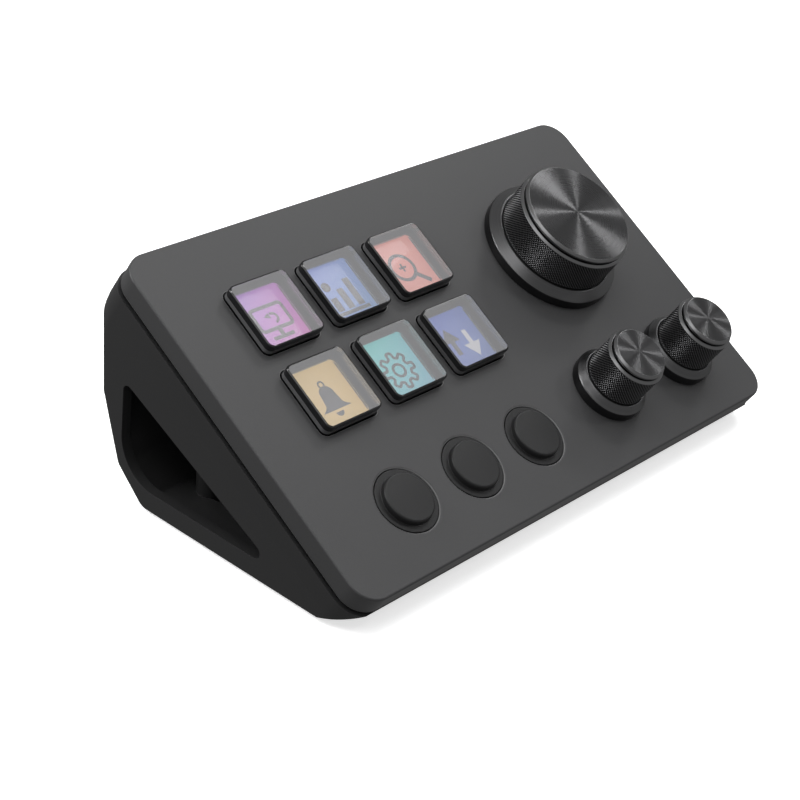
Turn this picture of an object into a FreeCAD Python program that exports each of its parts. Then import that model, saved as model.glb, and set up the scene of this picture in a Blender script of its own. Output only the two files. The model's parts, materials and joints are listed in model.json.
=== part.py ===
import FreeCAD, Part
import math
import os

# Macro keypad: a sloping face with six display keys, three round push buttons and
# three push dials, on a hollow stand with a window in each side.
# All lengths are in millimetres. X runs to the right, Y to the rear and Z up.
# The keys, buttons, dials and electronics are drawn lying flat, with w = 0 on the outer
# skin of the face, u to the right and v towards the rear, and then tilted onto the slope.
# The stand is drawn upright, with height 0 on its underside below the middle of the face.

# Faceplate
face_tilt = 33.0
face_corner = 5.0
face_front_height = 6.76
margin_left = 14.17
margin_right = 13.67
margin_front = 6.3
margin_rear = 12.31
dial_gap = 14.26
button_gap = 9.49
plate_thickness = 1.5
skirt_height = 4.2
skirt_wall = 1.6
edge_round = 0.4
stiffener_width = 1.0
stiffener_height = 1.6

# Stand
seam_gap = 0.6
rim_proud = 0.4
rim_height = 4.0
tongue_height = 1.6
tongue_wall = 0.9
side_draft = 3.0
stand_wall = 2.0
toe_set_back = 10.52
nose_rise = 19.0
rear_wall_proud = 0.15
heel_set_in = 4.3
heel_height = 6.2
underside_set_in = 10.7
rear_bend_height = 23.4
heel_round = 3.0
bend_round = 12.0
rear_corner = 3.0
bay_floor = 1.5
hollow_front = 6.5

# Side windows of the stand, set in from its rear wall and below the face
window_sill = 4.0
window_front_cover = 15.7
window_rear_wall = 4.7
window_rear_lean = 2.0
window_head_cover = 21.02
window_big_round = 8.0
window_small_round = 1.4

# Ribs on the inside of the stand's rear wall
rear_rib_width = 1.2
rear_rib_depth = 1.6
rear_rib_reach_shares = (-0.8, -0.4, 0.0, 0.4, 0.8)
rear_rib_spread = 62.0

# Bottom cover
cover_side_margin = 7.5
cover_toe_margin = 15.2
cover_heel_margin = 1.9
cover_thickness = 1.4
cover_corner = 4.0
cover_ledge = 2.6
cover_post_radius = 2.8
cover_post_height = 5.0
cover_screw_edge = 4.4

# Feet
foot_length = 16.0
foot_width = 5.0
foot_proud = 0.8
foot_pocket = 0.4
foot_side_margin = 16.0
foot_toe_margin = 4.2
foot_cover_margin = 6.2

# Screws
screw_radius = 1.0
screw_pilot = 0.8
screw_head_radius = 1.8
screw_head_height = 1.1
screw_length = 6.0
drive_radius = 0.8
drive_depth = 0.6

# Bosses under the faceplate; the case screws hold its front, and its hooks the rear
case_boss_radius = 2.6
case_boss_clear = 0.45
case_boss_front_margin = 13.15
board_boss_radius = 2.2
case_well_radius = 2.0

# Hooks that hold the rear of the faceplate in the stand
hook_width = 8.0
hook_wall = 1.2
hook_drop = 5.4
hook_barb = 0.5
hook_spread = 68.0

# Clearances
slip = 0.15
running = 0.05
travel_spare = 0.2
overrun = 5.0

# Key grid: columns and rows of display keys
key_columns = 3
key_rows = 2
key_gap = 3.8
key_side = 13.5
key_corner = 1.3
key_proud = 2.3
key_top_round = 0.45
key_clearance = 0.25
key_travel = 0.5
key_flange_reach = 0.8
key_flange_thickness = 0.6
key_core_inset = 0.85
key_core_drop = 0.6

# Display below the keys
grid_rib = 1.2
membrane_thickness = 0.4
membrane_lip_height = 0.17
film_thickness = 0.15
panel_thickness = 2.2
panel_border = 0.9
picture_inset = 0.5
frame_wall = 1.4
frame_floor = 1.0
frame_leg = 3.0
frame_leg_height = 1.6

# Round push buttons
button_radius = 4.85
button_brim_width = 1.3
button_brim_sunk = 0.1
button_bore_clearance = 0.15
button_bevel_width = 0.4
button_bevel_depth = 0.15
button_proud = 1.3
button_round = 0.4
button_wall = 1.0
button_flange_reach = 0.4
button_flange_thickness = 0.6
button_stem_radius = 1.5
button_travel = 0.5

# Tact switches below the buttons
switch_side = 6.0
switch_height = 3.4
switch_plunger_radius = 1.7
switch_plunger_proud = 0.9
switch_plunger_length = 2.2
switch_well_spare = 0.7

# Main dial, and the pair of small dials in front of it
dial_lift = 0.98
dial_radius = 12.1
small_dial_spread = 22.84
small_dial_lift = 2.05
small_dial_nut_gap = 0.08
dial_top = 11.7
dial_foot = 2.2
dial_band = 2.3
dial_chamfer = 0.5
dial_groove_depth = 0.7
dial_groove_height = 0.45
dial_cap_thickness = 0.8
dial_cap_bevel = 0.35
dial_cap_set_in = 0.5
dial_spigot_height = 0.9
dial_shell = 1.4
dial_crown = 2.2
dial_hub_radius = 3.7
dial_press = 0.5
knurl_depth = 0.16
knurl_pitch = 1.0
collar_wall_height = 1.9
collar_cone_height = 1.3
collar_floor = 0.8
collar_rim = 2.15
small_collar_rim = 1.35
collar_land = 0.25
collar_gap = 0.15

# Rotary encoders that carry the dials
encoder_side = 11.6
encoder_wall = 1.5
encoder_base = 0.4
encoder_roof = 0.9
bushing_radius = 3.0
bushing_top = 2.9
shaft_radius = 2.0
shaft_flat = 0.5
shaft_spare = 0.3
rotor_radius = 4.0
rotor_thickness = 0.9
rotor_gap = 0.1
slider_thickness = 0.8
slider_spare = 0.35
nut_flats = 8.0
nut_thickness = 1.7

# Main board
board_side_gap = 1.3
board_front_margin = 7.95
board_rear_gap = 0.7
board_thickness = 1.6
board_clearance = 2.0
board_corner = 1.5
board_boss_edge = 2.7
board_boss_front_edge = 2.4
board_boss_rear_edge = 2.1
board_boss_corner_drop = 4.2
board_boss_corner_inset = 1.2
processor_side = 7.0
memory_side = 5.0
regulator_side = 3.2
driver_side = 4.0
chip_gap = 3.2
chip_thickness = 0.9

# Ribbon between the display and the board
ribbon_width = 18.0
ribbon_thickness = 0.25
ribbon_lead = 2.2
ribbon_connector_depth = 3.4
ribbon_connector_height = 1.3
ribbon_bend = 0.8

# Power socket at the rear of the board
socket_width = 8.9
socket_height = 3.2
socket_length = 7.4
socket_wall = 0.3
socket_sunk = 1.7
socket_recess = 0.7
socket_margin = 0.35
tongue_width = 6.7
tongue_thickness = 0.7
tongue_length = 5.0

# Values worked out from the sizes above
small_dial_radius = nut_flats / 2 / math.cos(math.pi / 6) + small_dial_nut_gap + dial_shell
dial_collar_radius = dial_radius + collar_gap + collar_rim
small_dial_collar_radius = small_dial_radius + collar_gap + small_collar_rim
button_brim_radius = button_radius + button_brim_width
button_bore_radius = button_brim_radius + button_bore_clearance
button_ring_radius = button_bore_radius + button_bevel_width
key_pitch = key_side + key_gap
key_core_side = key_side - 2 * key_core_inset
picture_side = key_core_side - 2 * picture_inset
grid_width = (key_columns - 1) * key_pitch + key_side
grid_depth = (key_rows - 1) * key_pitch + key_side
face_width = margin_left + grid_width + dial_gap + 2 * dial_collar_radius + margin_right
face_depth = margin_front + 2 * button_ring_radius + button_gap + grid_depth + margin_rear
key_grid_u = margin_left + (grid_width - face_width) / 2
key_grid_v = (face_depth - grid_depth) / 2 - margin_rear
button_row_v = margin_front + button_ring_radius - face_depth / 2
dial_u = face_width / 2 - margin_right - dial_collar_radius
dial_v = key_grid_v + dial_lift
small_dial_v = button_row_v + small_dial_lift
tilt = math.radians(face_tilt)
face_centre_height = face_front_height + face_depth / 2 * math.sin(tilt)
face_inner_width = face_width - 2 * skirt_wall
face_inner_depth = face_depth - 2 * skirt_wall
face_inner_corner = face_corner - skirt_wall
rim_top = -skirt_height - seam_gap
rim_bottom = rim_top - rim_height
bay_width = face_inner_width - 2 * (slip + tongue_wall)
bay_rear = face_inner_depth / 2 - slip - tongue_wall
underside_front = face_depth / 2 * math.cos(tilt) - toe_set_back
rear_reach = (face_depth / 2 + rim_proud) * math.cos(tilt) - rim_bottom * math.sin(tilt)
rear_reach = rear_reach + rear_wall_proud
heel_reach = rear_reach - heel_set_in
underside_rear = rear_reach - underside_set_in
window_rear_low = rear_reach - window_rear_wall
window_rear_high = window_rear_low - window_rear_lean
window_front = (face_centre_height - window_sill - window_front_cover) / math.tan(tilt)
window_head = face_centre_height + window_rear_high * math.tan(tilt) - window_head_cover
cover_width = face_width - 2 * cover_side_margin
cover_front = underside_front - cover_toe_margin
cover_rear = underside_rear - cover_heel_margin
foot_spread = cover_width - 2 * foot_side_margin
foot_front_reach = underside_front - foot_toe_margin
foot_rear_reach = cover_rear - foot_cover_margin
case_boss_spread = bay_width - 2 * (case_boss_clear + case_boss_radius)
case_boss_front = face_depth / 2 - case_boss_front_margin
board_width = case_boss_spread - 2 * (case_boss_radius + board_side_gap)
board_front = face_depth / 2 - board_front_margin
board_rear = bay_rear - board_rear_gap
board_boss_left = board_width / 2 - board_boss_edge
board_boss_right = board_boss_left - board_boss_corner_inset
board_boss_front = board_front - board_boss_front_edge
board_boss_rear = board_rear - board_boss_rear_edge
board_boss_corner = board_boss_rear - board_boss_corner_drop
key_opening = key_side + 2 * key_clearance
key_flange_side = key_side + 2 * key_flange_reach
key_flange_top = -plate_thickness - travel_spare
key_flange_bottom = key_flange_top - key_flange_thickness
key_core_bottom = key_flange_bottom - key_core_drop
panel_top = key_core_bottom - key_travel - travel_spare
film_top = panel_top + film_thickness
membrane_top = film_top + membrane_thickness
panel_bottom = panel_top - panel_thickness
panel_width = key_columns * key_pitch + 2 * panel_border
panel_depth = key_rows * key_pitch + 2 * panel_border
frame_width = panel_width + 2 * (slip + frame_wall)
frame_depth = panel_depth + 2 * (slip + frame_wall)
frame_bottom = panel_bottom - frame_floor
board_top = frame_bottom - frame_leg_height
board_bottom = board_top - board_thickness
floor_top = board_bottom - board_clearance
floor_bottom = floor_top - bay_floor
switch_top = board_top + switch_height
plunger_top = switch_top + switch_plunger_proud
button_flange_top = -plate_thickness - travel_spare
dial_body_top = dial_top - dial_cap_thickness - dial_groove_height
encoder_top = -plate_thickness
cavity_side = encoder_side - 2 * encoder_wall
cavity_top = encoder_top - encoder_roof
shaft_top = dial_top - dial_cap_thickness - dial_spigot_height - shaft_spare
slider_bottom = board_top + encoder_base + dial_press + slider_spare
slider_top = slider_bottom + slider_thickness
shaft_bottom = slider_top + running
dials = (
    ("main", dial_u, dial_v, dial_radius, dial_collar_radius),
    ("left", dial_u - small_dial_spread / 2, small_dial_v, small_dial_radius,
     small_dial_collar_radius),
    ("right", dial_u + small_dial_spread / 2, small_dial_v, small_dial_radius,
     small_dial_collar_radius),
)
board_bosses = (
    (-board_boss_left, -board_boss_front),
    (dial_u, -board_boss_front),
    (-board_boss_left, board_boss_rear),
    (board_boss_right, board_boss_corner),
)
case_bosses = (
    (-case_boss_spread / 2, -case_boss_front),
    (case_boss_spread / 2, -case_boss_front),
)


def vector(x, y, z):
    return FreeCAD.Vector(x, y, z)


def rounded_wire(points, radii):
    """Closed outline through the points, with a tangent arc at each rounded corner."""
    edges = []
    ends = []
    count = len(points)
    for i, corner in enumerate(points):
        if radii[i] == 0:
            ends.append((corner, corner))
            continue
        back = (points[i - 1] - corner).normalize()
        ahead = (points[(i + 1) % count] - corner).normalize()
        half = back.getAngle(ahead) / 2
        reach = radii[i] / math.tan(half)
        inward = (back + ahead).normalize()
        middle = corner + inward * (radii[i] / math.sin(half) - radii[i])
        start = corner + back * reach
        stop = corner + ahead * reach
        edges.append(Part.Arc(start, middle, stop).toShape())
        ends.append((start, stop))
    for i in range(count):
        edges.append(Part.makeLine(ends[i][1], ends[(i + 1) % count][0]))
    return Part.Wire(Part.__sortEdges__(edges))


def rectangle_wire(width, depth, radius, level):
    corners = (
        vector(-width / 2, -depth / 2, level),
        vector(width / 2, -depth / 2, level),
        vector(width / 2, depth / 2, level),
        vector(-width / 2, depth / 2, level),
    )
    return rounded_wire(corners, [radius] * len(corners))


def slab(width, depth, radius, low, high, u=0, v=0):
    """Rounded block centred on u and v, between the levels low and high."""
    face = Part.Face(rectangle_wire(width, depth, radius, low))
    return face.extrude(vector(0, 0, high - low)).translate(vector(u, v, 0))


def tapered_slab(width, depth, radius, low, high):
    """Rounded block with the given size at its top, drawn in below by the side draft."""
    draw = 2 * (high - low) * math.tan(math.radians(side_draft))
    wires = [
        rectangle_wire(width - draw, depth - draw, radius, low),
        rectangle_wire(width, depth, radius, high),
    ]
    return Part.makeLoft(wires, True, True)


def pin(radius, low, high, u=0, v=0):
    return Part.makeCylinder(radius, high - low, vector(u, v, low))


def turned(profile, u=0, v=0):
    """Solid of revolution about the line through u and v, from (radius, level) pairs."""
    points = [vector(radius, 0, level) for radius, level in profile]
    face = Part.Face(Part.makePolygon(points + points[:1]))
    solid = face.revolve(vector(0, 0, 0), vector(0, 0, 1), 360)
    return solid.translate(vector(u, v, 0))


def hexagon(flats, low, high, u, v):
    corner = flats / 2 / math.cos(math.pi / 6)
    points = [
        vector(corner * math.cos(i * math.pi / 3), corner * math.sin(i * math.pi / 3), low)
        for i in range(6)
    ]
    face = Part.Face(Part.makePolygon(points + points[:1]))
    return face.extrude(vector(0, 0, high - low)).translate(vector(u, v, 0))


def side_prism(outline, radii, half_length, middle=0):
    """Prism along X from an outline of (y, height) pairs, centred on x = middle."""
    points = [vector(middle - half_length, y, height) for y, height in outline]
    face = Part.Face(rounded_wire(points, radii))
    return face.extrude(vector(2 * half_length, 0, 0))


def inset(outline, distance):
    """The same outline moved inwards by the distance; it runs anticlockwise."""
    lines = []
    for i, (y, z) in enumerate(outline):
        next_y, next_z = outline[(i + 1) % len(outline)]
        length = math.hypot(next_y - y, next_z - z)
        run = (next_y - y) / length
        rise = (next_z - z) / length
        lines.append((y - rise * distance, z + run * distance, run, rise))
    moved = []
    for i, (y, z, run, rise) in enumerate(lines):
        back_y, back_z, back_run, back_rise = lines[i - 1]
        cross = back_run * rise - back_rise * run
        along = ((y - back_y) * rise - (z - back_z) * run) / cross
        moved.append((back_y + back_run * along, back_z + back_rise * along))
    return moved


def on_slope(shape):
    """Tilt a piece drawn on the flat face onto the slope of the keypad."""
    placed = shape.copy()
    placed.rotate(vector(0, 0, 0), vector(1, 0, 0), face_tilt)
    placed.translate(vector(0, 0, face_centre_height))
    return placed


def key_places():
    places = []
    for row in range(key_rows):
        for column in range(key_columns):
            u = key_grid_u + (column - (key_columns - 1) / 2) * key_pitch
            v = key_grid_v - (row - (key_rows - 1) / 2) * key_pitch
            places.append((u, v))
    return places


def button_places():
    return [(u, button_row_v) for u, v in key_places()[:key_columns]]


def dial_places():
    return [(dial[1], dial[2]) for dial in dials]


def faceplate():
    """Upper shell: top plate, skirt, openings, bosses, stiffeners and rear hooks."""
    shell = slab(face_width, face_depth, face_corner, -skirt_height, 0)
    rim = [edge for edge in shell.Edges if edge.BoundBox.ZMin > -edge_round]
    shell = shell.makeFillet(edge_round, rim)
    hollow = slab(face_inner_width, face_inner_depth, face_inner_corner,
                  -skirt_height - overrun, -plate_thickness)
    shell = shell.cut(hollow)
    shell = shell.fuse(faceplate_bosses() + faceplate_stiffeners() + faceplate_hooks())
    holes = []
    for u, v in key_places():
        holes.append(slab(key_opening, key_opening, key_corner + key_clearance,
                          floor_top, overrun, u, v))
    for u, v in button_places():
        holes.append(pin(button_bore_radius, floor_top, overrun, u, v))
        holes.append(turned(button_bevel(), u, v))
    for u, v in dial_places():
        holes.append(pin(bushing_radius + slip, floor_top, overrun, u, v))
    for u, v in case_bosses:
        holes.append(pin(screw_pilot, floor_top - overrun, floor_top + screw_length, u, v))
    for u, v in board_bosses:
        holes.append(pin(screw_pilot, board_top - overrun, board_top + screw_length, u, v))
    return shell.cut(holes).removeSplitter()


def button_bevel():
    """Shallow cone that eases the edge of a button's opening."""
    return [
        (0, -button_bevel_depth),
        (button_bore_radius, -button_bevel_depth),
        (button_ring_radius, 0),
        (0, 0),
    ]


def faceplate_bosses():
    bosses = []
    for u, v in case_bosses:
        bosses.append(pin(case_boss_radius, floor_top, -plate_thickness, u, v))
    for u, v in board_bosses:
        bosses.append(pin(board_boss_radius, board_top, -plate_thickness, u, v))
    return bosses


def faceplate_stiffeners():
    """Two ribs across the underside, one beside the keys and one behind the buttons."""
    low = -plate_thickness - stiffener_height
    beside = key_grid_u + frame_width / 2 + stiffener_width
    behind = (button_row_v + button_ring_radius + key_grid_v - frame_depth / 2) / 2
    long_rib = slab(stiffener_width, face_inner_depth, 0, low, -plate_thickness, beside, 0)
    span = face_inner_width / 2 + beside
    cross_rib = slab(span, stiffener_width, 0, low, -plate_thickness,
                     beside - span / 2, behind)
    return [long_rib, cross_rib]


def hook_block(grow):
    """Barb of a rear hook, grown by a clearance on every side for its pocket."""
    high = -hook_drop
    low = high - hook_wall
    reach = bay_rear + hook_barb
    return slab(hook_width + 2 * grow, hook_wall + hook_barb + 2 * grow, 0,
                low - grow, high + grow, 0, reach - (hook_wall + hook_barb) / 2)


def faceplate_hooks():
    """Spring hooks under the rear edge, whose barbs catch in pockets of the stand."""
    hooks = []
    middle = bay_rear - slip - hook_wall / 2
    for side in (-1, 1):
        leg = slab(hook_width, hook_wall, 0, -hook_drop - hook_wall, -plate_thickness,
                   0, middle)
        hook = leg.fuse(hook_block(0))
        hooks.append(hook.translate(vector(side * hook_spread / 2, 0, 0)))
    return hooks


def stand_outline():
    """Side outline of the stand below its rim, anticlockwise from the nose."""
    top = face_centre_height + face_depth
    front = -underside_front - face_depth
    nose = face_depth * math.tan(math.radians(nose_rise))
    return [
        (-underside_front, 0),
        (underside_rear, 0),
        (heel_reach, heel_height),
        (rear_reach, rear_bend_height),
        (rear_reach, top),
        (front, top),
        (front, nose),
    ]


def stand_form(inward):
    """Everything inside the stand's outer surfaces, moved inwards by a wall."""
    width = face_width + 2 * (rim_proud - inward)
    depth = face_depth + 2 * (rim_proud - inward)
    corner = face_corner + rim_proud - inward
    deep = rim_bottom - face_depth
    rim = slab(width, depth, corner, rim_bottom, rim_top)
    sides = tapered_slab(width, depth, corner, deep, rim_bottom)
    radii = [0, heel_round - inward, heel_round, bend_round - inward, 0, 0, 0]
    profile = side_prism(inset(stand_outline(), inward), radii, face_width)
    plan_depth = 2 * (rear_reach - inward)
    plan = slab(width, plan_depth, rear_corner, -overrun, 2 * face_depth)
    return on_slope(rim.fuse(sides)).common(profile).common(plan)


def bay():
    """Room for the electronics, from the stand's floor up past its open top."""
    room = slab(bay_width, 2 * bay_rear, face_inner_corner - slip - tongue_wall,
                floor_top, overrun)
    low = inset(stand_outline(), stand_wall)
    keep = side_prism(low, [0] * len(low), face_width)
    return on_slope(room).common(keep)


def lower_hollow():
    """Empty space between the stand's floor and its underside."""
    below = on_slope(slab(2 * face_width, 2 * face_width, 0,
                          floor_bottom - 2 * face_depth, floor_bottom))
    behind = slab(2 * face_width, 2 * face_depth, 0, -overrun, 2 * face_depth,
                  0, face_depth - hollow_front)
    return stand_form(stand_wall).common(below).common(behind)


def side_windows():
    outline = [
        (-window_front, window_sill),
        (window_rear_low, window_sill),
        (window_rear_high, window_head),
    ]
    radii = [window_small_round, window_big_round, window_small_round]
    reach = face_width / 2 - 2 * stand_wall
    windows = []
    for side in (-1, 1):
        middle = side * (reach + overrun)
        windows.append(side_prism(outline, radii, overrun, middle))
    return windows


def cover_place():
    return (cover_rear - cover_front) / 2


def cover_screw_places():
    span = cover_front + cover_rear
    return [
        (side * (cover_width / 2 - cover_screw_edge),
         cover_place() + end * (span / 2 - cover_screw_edge))
        for side in (-1, 1)
        for end in (-1, 1)
    ]


def foot_places():
    return [
        (side * foot_spread / 2, reach)
        for reach in (-foot_front_reach, foot_rear_reach)
        for side in (-1, 1)
    ]


def foot_solid(grow, low, high, place):
    """Rounded pad, grown by a clearance for the pocket that takes it."""
    width = foot_width + 2 * grow
    return slab(foot_length + 2 * grow, width, width / 2 - running, low, high, *place)


def rear_ribs():
    ribs = []
    low = cover_thickness + stand_wall / 2
    for share in rear_rib_reach_shares:
        rib = slab(rear_rib_width, stand_wall + 2 * rear_rib_depth, 0, low,
                   rear_bend_height, share * rear_rib_spread, rear_reach - stand_wall)
        ribs.append(rib)
    return [rib.common(stand_form(stand_wall / 2)) for rib in ribs]


def port_cut():
    """Opening in the rear rim for the power socket, rounded like the plug."""
    width = socket_width + 2 * socket_margin
    height = socket_height + 2 * socket_margin
    face = rectangle_wire(width, height, height / 2 - running, 0)
    bar = Part.Face(face).extrude(vector(0, 0, 2 * overrun))
    bar.rotate(vector(0, 0, 0), vector(1, 0, 0), -90)
    bar.translate(vector(0, bay_rear - overrun / 2, socket_level()))
    return on_slope(bar)


def hook_pockets():
    pockets = []
    for side in (-1, 1):
        block = hook_block(slip).translate(vector(side * hook_spread / 2, 0, 0))
        pockets.append(on_slope(block))
    return pockets


def stand():
    """Hollow base: rim and tongue for the faceplate, floor, windows, posts and ribs."""
    tongue_width_out = face_inner_width - 2 * slip
    tongue_depth_out = face_inner_depth - 2 * slip
    tongue = slab(tongue_width_out, tongue_depth_out, face_inner_corner - slip,
                  rim_bottom, rim_top + tongue_height)
    body = stand_form(0).fuse(on_slope(tongue))
    body = body.cut([bay(), lower_hollow()] + side_windows())
    opening = slab(cover_width - 2 * cover_ledge, cover_front + cover_rear - 2 * cover_ledge,
                   cover_corner, -overrun, 2 * stand_wall, 0, cover_place())
    recess = slab(cover_width + 2 * slip, cover_front + cover_rear + 2 * slip,
                  cover_corner + slip, -overrun, cover_thickness, 0, cover_place())
    body = body.cut([opening, recess])
    posts = [
        pin(cover_post_radius, cover_thickness, cover_thickness + cover_post_height, x, y)
        for x, y in cover_screw_places()
    ]
    body = body.fuse([post.common(stand_form(stand_wall / 2)) for post in posts])
    body = body.fuse(rear_ribs())
    cuts = [port_cut()] + hook_pockets()
    for x, y in cover_screw_places():
        cuts.append(pin(screw_pilot, 0, screw_length, x, y))
    for u, v in case_bosses:
        cuts.append(on_slope(pin(screw_radius + slip, 2 * floor_top, overrun + floor_top, u, v)))
        cuts.append(on_slope(pin(case_well_radius, -2 * face_depth, floor_bottom, u, v)))
    for place in foot_places()[:2]:
        cuts.append(foot_solid(slip, -overrun, foot_pocket, place))
    return body.cut(cuts)


def bottom_cover():
    plate = slab(cover_width, cover_front + cover_rear, cover_corner, 0, cover_thickness,
                 0, cover_place())
    cuts = []
    for x, y in cover_screw_places():
        cuts.append(pin(screw_radius + slip, -overrun, overrun, x, y))
        cuts.append(turned(countersink(slip), x, y))
    for place in foot_places()[2:]:
        cuts.append(foot_solid(slip, -overrun, foot_pocket, place))
    return plate.cut(cuts)


def countersink(grow):
    """Cone of a flat screw head, with its wide end on the underside."""
    wide = screw_head_radius + grow
    return [
        (0, 0),
        (wide, 0),
        (screw_radius, wide - screw_radius),
        (0, wide - screw_radius),
    ]


def feet():
    return [foot_solid(0, -foot_proud, foot_pocket, place) for place in foot_places()]


def cover_screws():
    screws = []
    for x, y in cover_screw_places():
        head = turned(countersink(0), x, y)
        shank = pin(screw_pilot, 0, screw_length - travel_spare, x, y)
        drive = hexagon(drive_radius * 2, -overrun, drive_depth, x, y)
        screws.append(head.fuse(shank).cut(drive))
    return screws


def pan_screw(seat, u, v):
    """Screw driven upwards, with its bevelled head below the seat."""
    bevel = screw_head_height / 3
    head = turned([
        (0, seat - screw_head_height),
        (screw_head_radius - bevel, seat - screw_head_height),
        (screw_head_radius, seat - screw_head_height + bevel),
        (screw_head_radius, seat),
        (0, seat),
    ], u, v)
    shank = pin(screw_pilot, seat - screw_head_height / 2, seat + screw_length, u, v)
    drive = hexagon(drive_radius * 2, seat - screw_head_height - overrun,
                    seat - screw_head_height + drive_depth, u, v)
    return on_slope(head.fuse(shank).cut(drive))


def case_screws():
    return [pan_screw(floor_bottom, u, v) for u, v in case_bosses]


def board_screws():
    return [pan_screw(board_bottom, u, v) for u, v in board_bosses]


def key_cap(u, v):
    """Clear block with a rounded top edge, a retaining flange and a lower core."""
    block = slab(key_side, key_side, key_corner, key_flange_bottom, key_proud, u, v)
    rim = [edge for edge in block.Edges if edge.BoundBox.ZMin > key_proud - key_top_round]
    block = block.makeFillet(key_top_round, rim)
    flange = slab(key_flange_side, key_flange_side, key_corner + key_flange_reach,
                  key_flange_bottom, key_flange_top, u, v)
    core = slab(key_core_side, key_core_side, key_corner, key_core_bottom,
                key_flange_bottom, u, v)
    return on_slope(block.fuse([flange, core]).removeSplitter())


def key_windows(side, low, high):
    return [slab(side, side, 0, low, high, u, v) for u, v in key_places()]


def key_grid():
    """Ribbed frame between the faceplate and the membrane, one cell for each key."""
    plate = slab(frame_width, frame_depth, frame_wall, membrane_top, -plate_thickness,
                 key_grid_u, key_grid_v)
    cells = key_windows(key_pitch - grid_rib, membrane_top - overrun, overrun)
    return on_slope(plate.cut(cells))


def key_membrane():
    """Silicone sheet with a window and a raised soft lip under each key."""
    sheet = slab(panel_width, panel_depth, 0, film_top, membrane_top,
                 key_grid_u, key_grid_v)
    window_side = key_core_side + 4 * slip
    lips = key_windows(key_flange_side - 2 * slip, film_top, membrane_top + membrane_lip_height)
    windows = key_windows(window_side, film_top - overrun, overrun)
    return on_slope(sheet.fuse(lips).cut(windows))


def contact_film():
    sheet = slab(panel_width, panel_depth, 0, panel_top, film_top,
                 key_grid_u, key_grid_v)
    windows = key_windows(picture_side + 2 * slip, panel_top - overrun, overrun)
    return on_slope(sheet.cut(windows))


def display_panel():
    return on_slope(slab(panel_width, panel_depth, 0, panel_bottom, panel_top,
                         key_grid_u, key_grid_v))


def display_frame():
    """Tray that carries the display on the board, with legs and a notch for the ribbon."""
    low = frame_bottom
    tray = slab(frame_width, frame_depth, frame_wall, low, membrane_top,
                key_grid_u, key_grid_v)
    pocket = slab(panel_width + 2 * slip, panel_depth + 2 * slip, 0, panel_bottom,
                  overrun, key_grid_u, key_grid_v)
    legs = []
    for side in (-1, 1):
        for end in (-1, 1):
            legs.append(slab(frame_leg, frame_leg, 0, board_top, low,
                             key_grid_u + side * (frame_width - frame_leg) / 2,
                             key_grid_v + end * (frame_depth - frame_leg) / 2))
    notch = slab(ribbon_width + 4 * slip, frame_wall * 4, 0, low - overrun,
                 panel_top - panel_thickness / 3, key_grid_u, key_grid_v - frame_depth / 2)
    return on_slope(tray.cut(pocket).fuse(legs).cut(notch))


def ribbon_path():
    """Middle line of the ribbon: out of the display's edge and down to its connector."""
    start = key_grid_v - panel_depth / 2
    level = panel_top - panel_thickness * 2 / 3
    turn = start - frame_wall - ribbon_lead
    low = board_top + ribbon_connector_height / 2
    return [
        (start, level),
        (turn, level),
        (turn, low),
        (turn + ribbon_lead, low),
    ]


def display_ribbon():
    """Flat cable as a thick outline that follows the path, rounded at its bends."""
    path = ribbon_path()
    half = ribbon_thickness / 2
    (v0, w0), (v1, w1), (v2, w2), (v3, w3) = path
    outline = [
        (v0, w0 + half),
        (v1 - half, w1 + half),
        (v2 - half, w2 - half),
        (v3, w3 - half),
        (v3, w3 + half),
        (v2 + half, w2 + half),
        (v1 + half, w1 - half),
        (v0, w0 - half),
    ]
    outer = ribbon_bend + half
    inner = ribbon_bend - half
    radii = [0, outer, outer, 0, 0, inner, inner, 0]
    return on_slope(side_prism(outline, radii, ribbon_width / 2, key_grid_u))


def ribbon_connector():
    v = ribbon_path()[-1][0] + ribbon_connector_depth / 2
    return slab(ribbon_width + 2 * frame_wall, ribbon_connector_depth, 0, board_top,
                board_top + ribbon_connector_height, key_grid_u, v)


def main_board():
    depth = board_front + board_rear
    board = slab(board_width, depth, board_corner, board_bottom, board_top,
                 0, (board_rear - board_front) / 2)
    cuts = [
        pin(screw_radius + slip, board_bottom - overrun, overrun, u, v)
        for u, v in board_bosses
    ]
    cuts.append(slab(socket_width + 2 * slip, 2 * (socket_length + slip), 0,
                     board_bottom - overrun, overrun, 0, socket_rear()))
    return on_slope(board.cut(cuts))


def board_parts():
    """Processor, memory, regulators and the ribbon's connector, soldered to the board."""
    between = (key_grid_u + frame_width / 2 + dial_u - encoder_side / 2) / 2
    beside = encoder_side / 2 + chip_gap
    places = (
        (processor_side, between, dial_v + (processor_side + chip_gap) / 2),
        (memory_side, between, dial_v - (memory_side + chip_gap) / 2),
        (regulator_side, dial_u, dial_v + beside + regulator_side / 2),
        (driver_side, dial_u, dial_v - beside - driver_side / 2),
    )
    chips = [
        slab(side, side, 0, board_top, board_top + chip_thickness, u, v)
        for side, u, v in places
    ]
    chips.append(ribbon_connector())
    return [on_slope(chip) for chip in chips]


def socket_rear():
    return face_depth / 2 + rim_proud - socket_recess


def along_v(width, height, radius, length, level):
    """Rounded bar along v, which ends flush with the socket's mouth."""
    bar = Part.Face(rectangle_wire(width, height, radius, 0)).extrude(vector(0, 0, length))
    bar.rotate(vector(0, 0, 0), vector(1, 0, 0), 90)
    return bar.translate(vector(0, socket_rear(), level))


def socket_level():
    return board_top - socket_sunk + socket_height / 2


def power_socket():
    """Metal shell of the reversible power and data socket."""
    shell = along_v(socket_width, socket_height, socket_height / 2 - running,
                    socket_length, socket_level())
    bore = along_v(socket_width - 2 * socket_wall, socket_height - 2 * socket_wall,
                   socket_height / 2 - socket_wall - running,
                   socket_length - socket_wall, socket_level())
    return on_slope(shell.cut(bore))


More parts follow.
